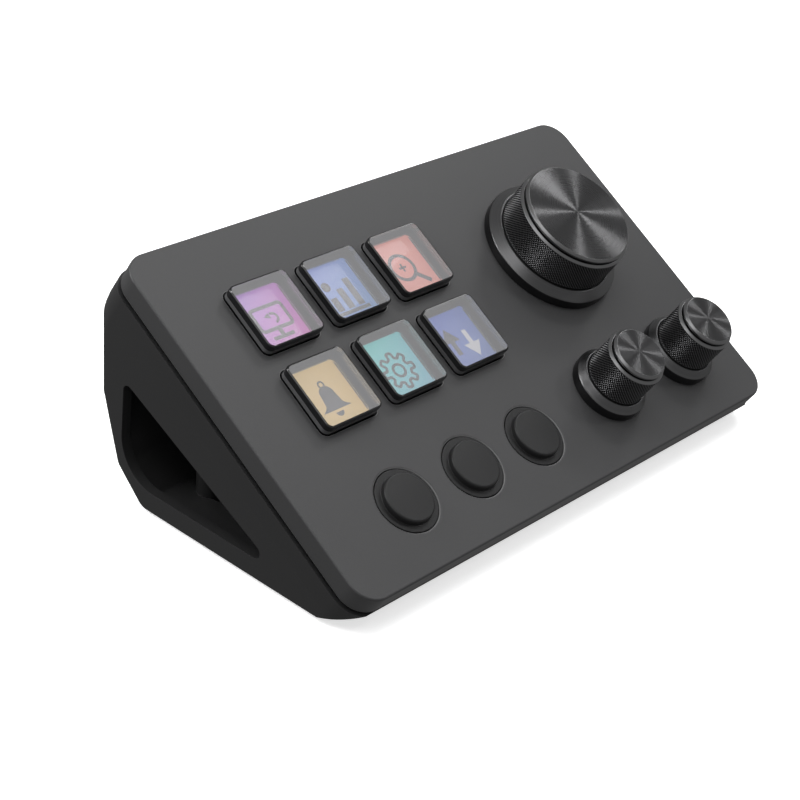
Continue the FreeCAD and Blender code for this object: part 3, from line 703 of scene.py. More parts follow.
@dataclass(frozen=True)
class Anodised:
    """Black anodised aluminium, turned: fine rings about the axis at (u, v)."""

    name: str
    tone: Colour
    u: float
    v: float
    rough: float = 0.3
    pitch: float = 0.12
    depth: float = 0.003
    anisotropy: float = 0.0
    quarter_turn: float = 0.25
    strength: float = 0.6
    ring_detail: float = 2.0
    ring_share: float = 0.6
    ring_sheen: float = 0.05
    rise: float = 0.6
    wander: float = 0.01
    wander_scale: float = 0.8
    stain_scale: float = 0.25
    stain_sheen: float = 0.06
    dark: float = 0.84
    light: float = 1.18

    def make(self) -> Material:
        """Build it: rings are noise along radius + rise z, led astray a little.

        Returns:
            The material.
        """
        r = Recipe(self.name)
        place = r.on_face(self.u, self.v)
        x, y, z = r.axes(place)
        radius = (x * x + y * y).maths("SQRT")
        astray = r.noise(place, self.wander_scale) * self.wander
        rings = r.node("ShaderNodeTexNoise", {"noise_dimensions": "1D"},
                       {"W": radius + z * self.rise + astray, "Scale": 1 / self.pitch,
                        "Detail": self.ring_detail})
        slow = r.noise(place, self.stain_scale)
        share = rings * self.ring_share + slow * (1 - self.ring_share)
        rough = (rings - 0.5) * self.ring_sheen + (slow - 0.5) * self.stain_sheen + self.rough
        return r.principled({
            "Base Color": r.blend(share.clamped(), gained(self.tone, self.dark),
                                  gained(self.tone, self.light)),
            "Metallic": 1.0, "Roughness": rough.clamped(),
            "Anisotropic": self.anisotropy, "Anisotropic Rotation": self.quarter_turn,
            "Normal": r.bump(rings, self.depth, self.strength),
        })


@dataclass(frozen=True)
class Acrylic:
    """Clear acrylic with the even milkiness of an anti-glare top."""

    name: str
    tone: Colour = (0.93, 0.93, 0.95)
    clearness: float = 0.78
    bending: float = 1.49
    smear: float = 0.95
    smear_scale: float = 0.35
    smear_detail: float = 3.0

    def make(self) -> Material:
        """Build it: mostly transmission, with smears from slow noise in its tone.

        Returns:
            The material.
        """
        r = Recipe(self.name)
        slow = r.noise(r.place(), self.smear_scale, self.smear_detail)
        return r.principled({
            "Base Color": r.blend(slow, self.tone, gained(self.tone, self.smear)),
            "Roughness": 0.0, "IOR": self.bending, "Transmission Weight": self.clearness,
        })


@dataclass(frozen=True)
class Picture:
    """What one key shows: a field that runs between two colours, and a symbol."""

    glyph: Glyph
    start: Colour
    end: Colour
    ink: Colour = (20, 18, 24)
    pale_ink: Colour = (196, 196, 200)
    glow: float = 1.0
    unlit: float = 0.7
    rough: float = 0.35
    pixel_scale: float = 9.0
    pixel_share: float = 0.12
    pixel_dark: Colour = (0.6, 0.6, 0.6)
    ink_base: Colour = (0.01, 0.01, 0.01)
    ink_dark: float = 0.9

    def lit(self, u: float, v: float, side: float) -> Material:
        """Build the lit field: its colour follows the place along its diagonal.

        Args:
            u: its middle to the right.
            v: its middle up the slope.
            side: its side.

        Returns:
            The material.
        """
        r = Recipe(f"picture_{self.glyph.value}")
        place = r.on_face(u, v)
        x, y, _ = r.axes(place)
        along = ((x - y) * (0.5 / side) + 0.5).clamped()
        pixel = r.noise(place, self.pixel_scale, 1.0)
        colour = r.blend(along, linear(self.start), linear(self.end))
        light = r.node("ShaderNodeMix", {"data_type": "RGBA", "blend_type": "MULTIPLY"},
                       {0: pixel * self.pixel_share, 6: colour, 7: opaque(self.pixel_dark)},
                       out=2)
        return r.principled({
            "Base Color": r.blend(self.unlit, linear(self.start), (0, 0, 0)),
            "Roughness": self.rough, "Emission Color": light, "Emission Strength": self.glow,
        })

    def mark(self, tone: Colour, name: str) -> Material:
        """Build the symbol's material: a dimmer glow with the same fine pixels.

        Args:
            tone: its screen colour.
            name: what tells it from the picture's other inks.

        Returns:
            The material.
        """
        r = Recipe(f"symbol_{self.glyph.value}_{name}")
        pixel = r.noise(r.place(), self.pixel_scale, 1.0)
        low = linear(tone)
        return r.principled({
            "Base Color": opaque(self.ink_base), "Roughness": self.rough,
            "Emission Color": r.blend(pixel, low, gained(low, self.ink_dark)),
            "Emission Strength": self.glow,
        })


@dataclass(frozen=True)
class Plated:
    """Bare or plated metal with a fine grain along one axis."""

    name: str
    tone: Colour
    rough: float = 0.28
    stretch: float = 0.08
    grain: float = 6.0
    grain_detail: float = 3.0
    grain_rough: float = 0.65
    grain_sheen: float = 0.18
    depth: float = 0.004
    stain_scale: float = 0.5
    stain: float = 0.82

    def make(self) -> Material:
        """Build it: stretched noise for the grain, slow noise for stain.

        Returns:
            The material.
        """
        r = Recipe(self.name)
        place = r.place()
        x, y, z = r.axes(place)
        along = r.node("ShaderNodeCombineXYZ", None, {0: x * self.stretch, 1: y, 2: z})
        grain = r.noise(along, self.grain, self.grain_detail, self.grain_rough)
        slow = r.noise(place, self.stain_scale)
        return r.principled({
            "Base Color": r.blend(slow, gained(self.tone, self.stain), self.tone),
            "Metallic": 1.0,
            "Roughness": ((grain - 0.5) * self.grain_sheen + self.rough).clamped(),
            "Normal": r.bump(grain, self.depth),
        })


@dataclass(frozen=True)
class Laminate:
    """Circuit board: solder mask with traces below it."""

    name: str
    tone: Colour
    rough: float = 0.3
    trace_scale: float = 0.45
    trace_width: float = 0.05
    trace_share: float = 0.6
    trace_light: float = 2.1
    weave_scale: float = 2.2
    weave_share: float = 0.2
    weave_sheen: float = 0.15
    depth: float = 0.03

    def make(self) -> Material:
        """Build it: traces are the joints of a brick pattern on the face.

        Returns:
            The material.
        """
        r = Recipe(self.name)
        place = r.on_face(0, 0)
        trace = r.node("ShaderNodeTexBrick", {"offset": 0.5}, {
            "Vector": place, "Color1": (0, 0, 0, 1), "Color2": (0, 0, 0, 1),
            "Mortar": (1, 1, 1, 1), "Scale": self.trace_scale,
            "Mortar Size": self.trace_width}, out="Fac")
        weave = r.noise(place, self.weave_scale)
        share = trace * self.trace_share + weave * self.weave_share
        return r.principled({
            "Base Color": r.blend(share.clamped(), self.tone,
                                  gained(self.tone, self.trace_light)),
            "Roughness": (weave * self.weave_sheen + self.rough).clamped(),
            "Normal": r.bump(trace, self.depth),
        })


class Finishes:
    """Every plain finish of the keypad, made once."""

    def __init__(self) -> None:
        """Make the materials."""
        self.face = Moulded("faceplate_plastic", (0.052, 0.052, 0.0535), 0.47, 4.5, 0.010).make()
        self.stand = Moulded("stand_plastic", (0.020, 0.020, 0.0206), 0.52, 3.6, 0.014).make()
        self.button = Moulded("button_plastic", (0.014, 0.014, 0.0145), 0.45, 6.0, 0.008).make()
        self.inner = Moulded("inner_plastic", (0.018, 0.018, 0.019), 0.5, 3.0, 0.02).make()
        self.silicone = Moulded("soft_silicone", (0.020, 0.020, 0.021), 0.62, 2.0, 0.02).make()
        self.rubber = Moulded("foot_rubber", (0.016, 0.016, 0.016), 0.8, 2.6, 0.05).make()
        self.chip = Moulded("chip_package", (0.022, 0.022, 0.024), 0.42, 5.0, 0.012).make()
        self.glass = Moulded("display_glass", (0.006, 0.006, 0.007), 0.12, 0.8, 0.001).make()
        self.amber = Moulded("amber_film", (0.22, 0.12, 0.03), 0.25, 1.2, 0.004).make()
        self.steel = Plated("zinc_steel", (0.50, 0.50, 0.51)).make()
        self.nickel = Plated("nickel_shell", (0.62, 0.61, 0.60), 0.2).make()
        self.board = Laminate("board_laminate", (0.010, 0.035, 0.018)).make()
        # On the keys, the black backing paints the shade seen through the clear walls, and the
        # grey band paints a reflection in them.
        self.gloss = Moulded("gloss_black", (0.006, 0.006, 0.007), 0.10, 1.2, 0.0005,
                             specular=1.0).make()
        self.wall_reflection_grey = Moulded("smoky_wall", (0.13, 0.13, 0.134), 0.20, 1.2, 0.001).make()
        # The two paler edge finishes paint a highlight on the eased edges of the faceplate, the
        # stand and the cover.
        self.face_edge_highlight = Moulded("faceplate_edge", (0.19, 0.19, 0.192), 0.38, 4.5, 0.004).make()
        self.stand_edge = Moulded("stand_edge", (0.034, 0.034, 0.035), 0.45, 4.5, 0.006).make()
        self.acrylic = Acrylic("clear_acrylic").make()


# Case

@dataclass
class Case:
    """Faceplate, stand, cover and feet, softened from merged copies of their solids, with a
    highlight painted in a paler finish on the eased edges of all but the feet.

    Angles are in degrees and the merging reach in metres. The faceplate's bevel isn't
    clamped, because the shortest edge at its openings would narrow it everywhere.
    """

    finishes: Finishes
    soft_edges: dict[str, float] = field(default_factory=lambda: {
        "faceplate": 0.15, "stand": 0.22, "bottom_cover": 0.15, "feet": 0.25})
    unclamped: tuple[str, ...] = ("faceplate",)
    segments: int = 3
    merge_reach: float = 2e-6
    flat_angle: float = 0.4
    crisp_angle: float = 28.0
    flat_weight: int = 80

    def build(self) -> list[Piece]:
        """Make the softened copies and hide the nodes they stand for.

        Returns:
            The new pieces.
        """
        f = self.finishes
        looks = {
            "faceplate": ([f.face, f.face_edge_highlight], "faceplate_plastic"),
            "stand": ([f.stand, f.stand_edge], "stand_plastic"),
            "bottom_cover": ([f.stand, f.stand_edge], "stand_plastic"),
            "feet": ([f.rubber, f.rubber], "foot_rubber"),
        }
        made = []
        for node, width in self.soft_edges.items():
            pair, slot = looks[node]
            piece = self.softened(node, width, pair)
            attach(piece, "base")
            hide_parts(node)
            made.append(piece)
        return made

    def softened(self, node: str, width: float, pair: Sequence[Material]) -> Piece:
        """Copy a node's mesh, merge it, and ease its edges.

        Args:
            node: name of the CAD node.
            width: how wide its eased edges are.
            pair: the material of its faces, and a paler one on its eased edges, a painted
                highlight.

        Returns:
            The piece, with a live bevel on its crisp edges.
        """
        mesh = frame["nodes"][node].data.copy()
        form = bmesh.new()
        form.from_mesh(mesh)
        bmesh.ops.remove_doubles(form, verts=form.verts, dist=self.merge_reach)
        bmesh.ops.dissolve_limit(form, angle_limit=math.radians(self.flat_angle),
                                 verts=form.verts, edges=form.edges, delimit={"NORMAL"})
        form.to_mesh(mesh)
        form.free()
        mesh.polygons.foreach_set("material_index", np.zeros(len(mesh.polygons), np.int32))
        piece = link(f"{node}_shell", mesh, pair, self.crisp_angle)
        # The bevel's faces take the second material, which paints a highlight on the eased edges.
        bevel = piece.modifiers.new("eased_edges", "BEVEL")
        bevel.width, bevel.segments, bevel.material = width * MM, self.segments, 1
        bevel.limit_method, bevel.angle_limit = "ANGLE", math.radians(self.crisp_angle)
        bevel.use_clamp_overlap = node not in self.unclamped
        bevel.miter_outer = "MITER_ARC"
        even = piece.modifiers.new("even_shading", "WEIGHTED_NORMAL")
        even.keep_sharp, even.weight = True, self.flat_weight
        return piece


# Dials

@dataclass
class DialSet:
    """A dial: knurled body, turned cap and the fixed collar round them.

    Levels are above the skin. An ease is the rounding of a corner, and the edge reach
    is how far past a bevel its bright finish runs.
    """

    dial: Dial
    radius: float
    collar: float
    teeth: int
    disc_bump: float = 0.0004
    disc_rough: float = 0.28
    disc_pitch: float = 0.10
    foot: float = 2.2
    band: float = 1.3
    top: float = 11.7
    cap_thickness: float = 0.8
    cap_bevel: float = 0.42
    cap_set_in: float = 0.5
    groove: float = 0.45
    groove_depth: float = 0.7
    chamfer: float = 0.5
    spigot: float = 0.9
    shell: float = 1.4
    crown: float = 2.2
    hub: float = 3.7
    bore: float = 2.02
    nut_room: float = 3.6
    gap: float = 0.15
    collar_wall: float = 1.9
    collar_cone: float = 1.3
    collar_lip: float = 0.25
    collar_floor: float = 0.8
    collar_bore: float = 3.15
    fine_ease: float = 0.03
    mouth_ease: float = 0.04
    ease: float = 0.05
    rim_ease: float = 0.06
    foot_ease: float = 0.12
    wall_ease: float = 0.22
    wall_margin: float = 0.02
    edge_reach: float = 0.06
    knurl_depth: float = 0.2
    knurl_rows: int = 11
    knurl_margin: float = 0.1
    groove_shade_level: float = 0.4
    samples: int = 4
    collar_sectors: int = 160
    cap_sectors: int = 192
    body_crisp: float = 40.0

    def build(self) -> list[Piece]:
        """Make the dial's pieces.

        Returns:
            Collar, body and cap.
        """
        name, (u, v) = self.dial.value, LAYOUT.dial(self.dial)
        satin = {"u": u, "v": v, "anisotropy": 0.4}
        plain = {"u": u, "v": v, "depth": 0.001}
        cone = Anodised(f"collar_metal_{name}", (0.16, 0.16, 0.163), rough=0.36, **satin)
        # The collar's upright wall takes a darker copy of the cone's metal, painted shade.
        wall = Anodised(f"collar_wall_{name}", (0.06, 0.06, 0.062), rough=0.38, **satin)
        grip = Anodised(f"knurled_metal_{name}", (0.11, 0.11, 0.113), rough=0.40, **plain)
        # The near-black groove finish paints shade into the knurl's grooves.
        cut = Anodised(f"knurl_groove_shade_{name}", (0.012, 0.012, 0.0125), rough=0.45, **plain)
        spun = Anodised(f"spun_metal_{name}", (0.15, 0.15, 0.153), u, v, self.disc_rough,
                        self.disc_pitch, self.disc_bump, anisotropy=1.0)
        edge = Anodised(f"cut_metal_{name}", (0.26, 0.26, 0.264), rough=0.34, **plain).make()
        collar = self.collar_ring(u, v).piece(f"{name}_collar_ring", cone.make(), wall.make())
        body = self.knurled(u, v).piece(
            f"{name}_dial_grip", grip.make(), cut.make(), edge, sharp=self.body_crisp)
        cap = self.disc(u, v).piece(f"{name}_dial_disc", spun.make(), edge)
        for piece, ride, node, slot in (
                (collar, "base", "collar", "dark_aluminium"),
                (body, f"dial_{name}", "body", "dark_aluminium"),
                (cap, f"dial_{name}", "cap", "spun_aluminium")):
            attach(piece, ride)
            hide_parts(f"dial_{name}_{node}")
        return [collar, body, cap]

    def collar_ring(self, u: float, v: float) -> Surface:
        """Turn the collar: upright wall darkened with painted shade, satin cone and bore, as a
        closed loop.

        Args:
            u: place of the axis to the right.
            v: place of the axis up the slope.

        Returns:
            The surface, whose wall takes the second finish, a darker painted shade.
        """
        bore = self.radius + self.gap
        high = self.collar_wall + self.collar_cone
        profile = rounded([
            (self.collar_bore, 0, self.fine_ease), (self.collar, 0, self.rim_ease),
            (self.collar, self.collar_wall, self.wall_ease),
            (bore + self.collar_lip, high, self.foot_ease), (bore, high, 0),
            (bore, self.collar_floor, self.ease),
            (self.collar_bore, self.collar_floor, self.fine_ease)], closed=True)
        # The faces of the upright wall take the darker metal, painted shade.
        middles = (profile + np.roll(profile, -1, axis=0)) / 2
        wall = ((middles[:, 1] < self.collar_wall - self.wall_margin)
                & (middles[:, 0] > self.radius))
        return turned(profile, self.collar_sectors, u, v, closed=True, look=wall.astype(int))

    def disc(self, u: float, v: float) -> Surface:
        """Turn the cap: spigot, bright bevelled rim and flat face.

        Args:
            u: place of the axis to the right.
            v: place of the axis up the slope.

        Returns:
            The surface, whose bevel takes the second finish.
        """
        low, edge = self.top - self.cap_thickness, self.radius - self.cap_set_in
        neck = self.radius - self.groove_depth - self.chamfer
        profile = rounded([
            (0, low - self.spigot, 0), (neck, low - self.spigot, self.ease),
            (neck, low, self.fine_ease), (edge, low, self.ease),
            (edge, self.top - self.cap_bevel, self.ease),
            (edge - self.cap_bevel, self.top, self.ease), (0, self.top, 0)])
        rows = profile[1:-1]
        bevel = ((rows[:-1, 1] > self.top - self.cap_bevel - self.edge_reach)
                 & (rows[1:, 0] > edge - self.cap_bevel - self.edge_reach))
        return turned(profile, self.cap_sectors, u, v, look=bevel.astype(int))

    def knurled(self, u: float, v: float) -> Surface:
        """Turn the body and cut the diamond knurl into its grip.

        At angle a and level w on the grip the radius is R - d max(g(p), g(q)), where
        p = teeth a / 2 pi + n s and q = teeth a / 2 pi - n s for the share s of the
        grip's height and its n rows of diamonds. g falls from 1 on a whole number to 0 at
        a third from it, so the grooves are V-shaped and cross in diamonds. Faces whose
        middle lies in a groove take the second finish, near-black painted shade, and the
        chamfer's take the third.

        Args:
            u: place of the axis to the right.
            v: place of the axis up the slope.

        Returns:
            The closed surface.
        """
        lower, upper, low, crown = self.body_profile()
        steps = self.knurl_rows * self.samples
        share = np.linspace(0, 1, steps + 1)
        grip = np.stack([np.full(steps + 1, self.radius), low + share * (crown - low)], -1)
        profile = np.vstack([lower, grip, upper])
        count = self.teeth * self.samples
        turns = np.arange(count) / self.samples
        p = turns[None, :] + self.knurl_rows * share[:, None]
        q = turns[None, :] - self.knurl_rows * share[:, None]
        cut = np.maximum(self.groove_shape(p), self.groove_shape(q))
        fade = np.clip(np.minimum(share, 1 - share) * steps, 0, 1)[:, None]
        radius = np.repeat(profile[:, :1], count, axis=1)
        radius[len(lower):len(lower) + steps + 1] -= self.knurl_depth * cut * fade
        looks = np.zeros((len(profile), count), int)
        i, j = np.meshgrid(np.arange(steps), np.arange(count), indexing="ij")
        # Faces deep in a groove take the near-black painted shade.
        looks[len(lower):len(lower) + steps] = (
            (self.groove_shape((j + i + 1) / self.samples) > self.groove_shade_level)
            | (self.groove_shape((j - i) / self.samples) > self.groove_shade_level))
        ahead = np.roll(profile, -1, axis=0)
        looks[(profile[:, 1] > crown + self.edge_reach)
              & (ahead[:, 0] > self.radius - self.chamfer - self.edge_reach)] = 2
        surface = Surface()
        surface.grid(swept(radius, profile[:, 1:], count, u, v), around=True, along=True,
                     look=looks)
        return surface

    def body_profile(self) -> tuple[Array, Array, float, float]:
        """Draw the body's profile but for its grip.

        A hub hangs round the shaft where the shell leaves room for it, as in the main
        dial, and a small dial is solid above the nut instead.

        Returns:
            The (n, 2) profiles below and above the grip, and the grip's two levels.
        """
        body_top = self.top - self.cap_thickness - self.groove
        crown, low = body_top - self.chamfer, self.foot + self.band
        inner = self.radius - self.shell
        neck = self.radius - self.groove_depth - self.chamfer + self.gap
        seat = self.top - self.cap_thickness - self.spigot
        roof = crown - self.crown if inner - self.hub > self.shell else self.nut_room
        inside = [(self.bore, self.nut_room, self.fine_ease)]
        if roof > self.nut_room:
            inside += [(self.hub, self.nut_room, self.ease), (self.hub, roof, self.ease)]
        inside += [(inner, roof, self.ease), (inner, self.foot, self.ease),
                   (self.radius, self.foot, self.foot_ease),
                   (self.radius, low - self.foot_ease, 0)]
        start = crown + self.knurl_margin
        outside = [(self.radius, start, 0), (self.radius, start + self.rim_ease, self.rim_ease),
                   (self.radius - self.chamfer, body_top, self.rim_ease),
                   (neck, body_top, self.mouth_ease), (neck, seat, self.fine_ease),
                   (self.bore, seat, self.fine_ease)]
        return rounded(inside), rounded(outside), low, crown

    @staticmethod
    def groove_shape(x: Array) -> Array:
        """Return 1 on whole numbers, falling straight to 0 a third away from them."""
        return np.clip(1 - 3 * np.abs(x - np.round(x)), 0, 1)


# Keys and buttons

@dataclass
class KeyBlock:
    """A clear key cap: block, retaining flange and the core over its picture."""

    side: float = 13.5
    corner: float = 1.3
    proud: float = 2.3
    edge: float = 0.3
    edge_points: int = 6
    least_corner: float = 0.2
    streak_low: float = 0.1
    streak_high: float = 0.95
    wall_low: float = 0.05
    flange_reach: float = 0.8
    flange_top: float = -1.7
    flange_bottom: float = -2.3
    flange_ease: float = 0.06
    core_bottom: float = -2.9
    core_inset: float = 0.85
    core_ease: float = 0.10
    support: float = 0.04
    clear_rows: int = 2
    crisp: float = 35.0

    def build(self, number: int, u: float, v: float, finishes: Sequence[Material]) -> Piece:
        """Stack the cap's outlines from its core to its rounded top.

        The edge is a quarter circle: at angle a it stands in by e (1 - cos a), and e
        (1 - sin a) below the top.

        Args:
            number: which key, from 1.
            u: middle to the right.
            v: middle up the slope.
            finishes: the clear acrylic, the black that backs its walls as painted shade, and
                the grey of the streak round their foot, a painted reflection.

        Returns:
            The cap, which rides on its key.
        """
        half, corner, e, s = self.side / 2, self.corner, self.edge, self.support
        core, wing = half - self.core_inset, half + self.flange_reach
        wide, c, f = corner + self.flange_reach, self.core_ease, self.flange_ease
        angle = np.linspace(0, np.pi / 2, self.edge_points)
        inward = e * (1 - np.cos(angle))
        turn = np.stack([half - inward, np.maximum(corner - inward, self.least_corner),
                         self.proud - e * (1 - np.sin(angle))], -1)
        stations = [
            (core - c - s, corner - c, self.core_bottom),
            (core - c, corner - c + s, self.core_bottom),
            (core, corner, self.core_bottom + c),
            (core, corner, self.core_bottom + c + s),
            (core, corner, self.flange_bottom),
            (wing - f, wide - f, self.flange_bottom),
            (wing, wide, self.flange_bottom + f),
            (wing, wide, self.flange_top - f),
            (wing - f, wide - f, self.flange_top),
            (half, corner, self.flange_top),
            (half, corner, self.flange_top + self.wall_low),
            (half, corner, self.streak_low),
            (half, corner, self.streak_high),
            (half, corner, self.proud - e - s),
            *map(tuple, turn),
            (half - e - s, corner - e - s, self.proud),
        ]
        # Rows past the core's take the black painted shade, and the streak's band the grey painted
        # reflection.
        level = np.array(stations)[:-1, 2]
        walls = np.arange(len(level)) >= self.clear_rows
        look = walls.astype(int) + np.isclose(level, self.streak_low)
        piece = stacked(stations, u, v, look).piece(
            f"clear_key_{number}", *finishes, sharp=self.crisp)
        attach(piece, f"key_{number}")
        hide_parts(f"key_cap_{number}")
        return piece


@dataclass
class PushButton:
    """A round button: raised crowned cap on a brim that fills its opening."""

    radius: float = 4.85
    brim: float = 6.15
    brim_level: float = -0.1
    proud: float = 1.3
    crown: float = 0.14
    crown_rings: int = 9
    edge: float = 0.4
    edge_flat: float = 0.3
    draft: float = 0.02
    foot_flare: float = 0.06
    wall: float = 1.0
    roof: float = 1.2
    flange: float = 6.55
    flange_top: float = -1.7
    flange_bottom: float = -2.3
    stem: float = 1.5
    plunger: float = -4.1
    ease: float = 0.05
    mouth_ease: float = 0.04
    inner_ease: float = 0.1
    brim_ease: float = 0.16
    sectors: int = 96
    crisp: float = 35.0

    def build(self, number: int, u: float, v: float, finish: Material) -> Piece:
        """Turn the button.

        The crown is level(r) = proud - crown (r / r_edge)^2 inside the rounded edge.

        Args:
            number: which button, from 1.
            u: middle to the right.
            v: middle up the slope.
            finish: its plastic.

        Returns:
            The button, which rides on its body.
        """
        inside, bottom = self.radius - self.wall, self.brim_level - self.wall
        rim, roof = self.proud - self.crown, self.proud - self.roof
        skirt = self.brim - self.wall
        shell = rounded([
            (0, self.plunger, 0), (self.stem, self.plunger, self.ease),
            (self.stem, roof, self.inner_ease), (inside, roof, self.inner_ease),
            (inside, bottom, self.inner_ease), (skirt, bottom, self.ease),
            (skirt, self.flange_bottom, self.ease),
            (self.flange, self.flange_bottom, self.ease),
            (self.flange, self.flange_top, self.ease),
            (self.brim, self.flange_top, self.mouth_ease),
            (self.brim, self.brim_level, self.brim_ease),
            (self.radius + self.foot_flare, self.brim_level, self.inner_ease),
            (self.radius - self.draft, rim, self.edge),
            (self.radius - self.edge - self.edge_flat, rim + self.draft, 0)], steps=7)
        t = np.linspace(1, 0, self.crown_rings)[1:]
        reach, level = shell[-1]
        top = np.stack([reach * t, level + (self.proud - level) * (1 - t ** 2)], -1)
        piece = turned(np.vstack([shell, top]), self.sectors, u, v).piece(
            f"round_button_{number}", finish, sharp=self.crisp)
        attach(piece, f"button_{number}")
        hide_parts(f"push_button_{number}")
        return piece


# Pictures

Forms = tuple[list[Array], list[Array]]


def stroke(path: Array, width: float, closed: bool = False, least: float = 0.35) -> Array:
    """Ribbon along a path on the face.

    Each point moves to both sides along its mitre: half the width over the cosine of
    half the bend there.

    Args:
        path: (n, 2) points.
        width: width of the ribbon.
        closed: True where the path is a loop.
        least: the least that the cosine may be, which blunts sharp bends.

    Returns:
        (n, 2, 2) points on its left and right sides.
    """
    ahead = np.roll(path, -1, axis=0) - path
    back = path - np.roll(path, 1, axis=0)
    if not closed:
        ahead[-1], back[0] = back[-1], ahead[0]
    ahead /= np.linalg.norm(ahead, axis=1, keepdims=True)
    back /= np.linalg.norm(back, axis=1, keepdims=True)
    middle = ahead + back
    middle /= np.linalg.norm(middle, axis=1, keepdims=True)
    cosine = np.maximum(np.sum(middle * ahead, axis=1, keepdims=True), least)
    side = np.stack([-middle[:, 1], middle[:, 0]], -1) * (width / 2) / cosine
    return np.stack([path + side, path - side], axis=1)


def circle(x: float, y: float, radius: float, count: int = 40, start: float = 0.0,
           sweep: float = 360.0) -> Array:
    """Points on a circle or an arc: (x + r cos a, y + r sin a).

    Args:
        x: its centre to the right.
        y: its centre upwards.
        radius: its radius.
        count: number of points.
        start: angle of the first, in degrees.
        sweep: angle between the first and the last, or 360 for a circle.

    Returns:
        (count, 2) points.
    """
    full = abs(sweep) >= 360
    angle = np.radians(start + np.linspace(0, sweep, count, endpoint=not full))
    return np.stack([x + radius * np.cos(angle), y + radius * np.sin(angle)], -1)


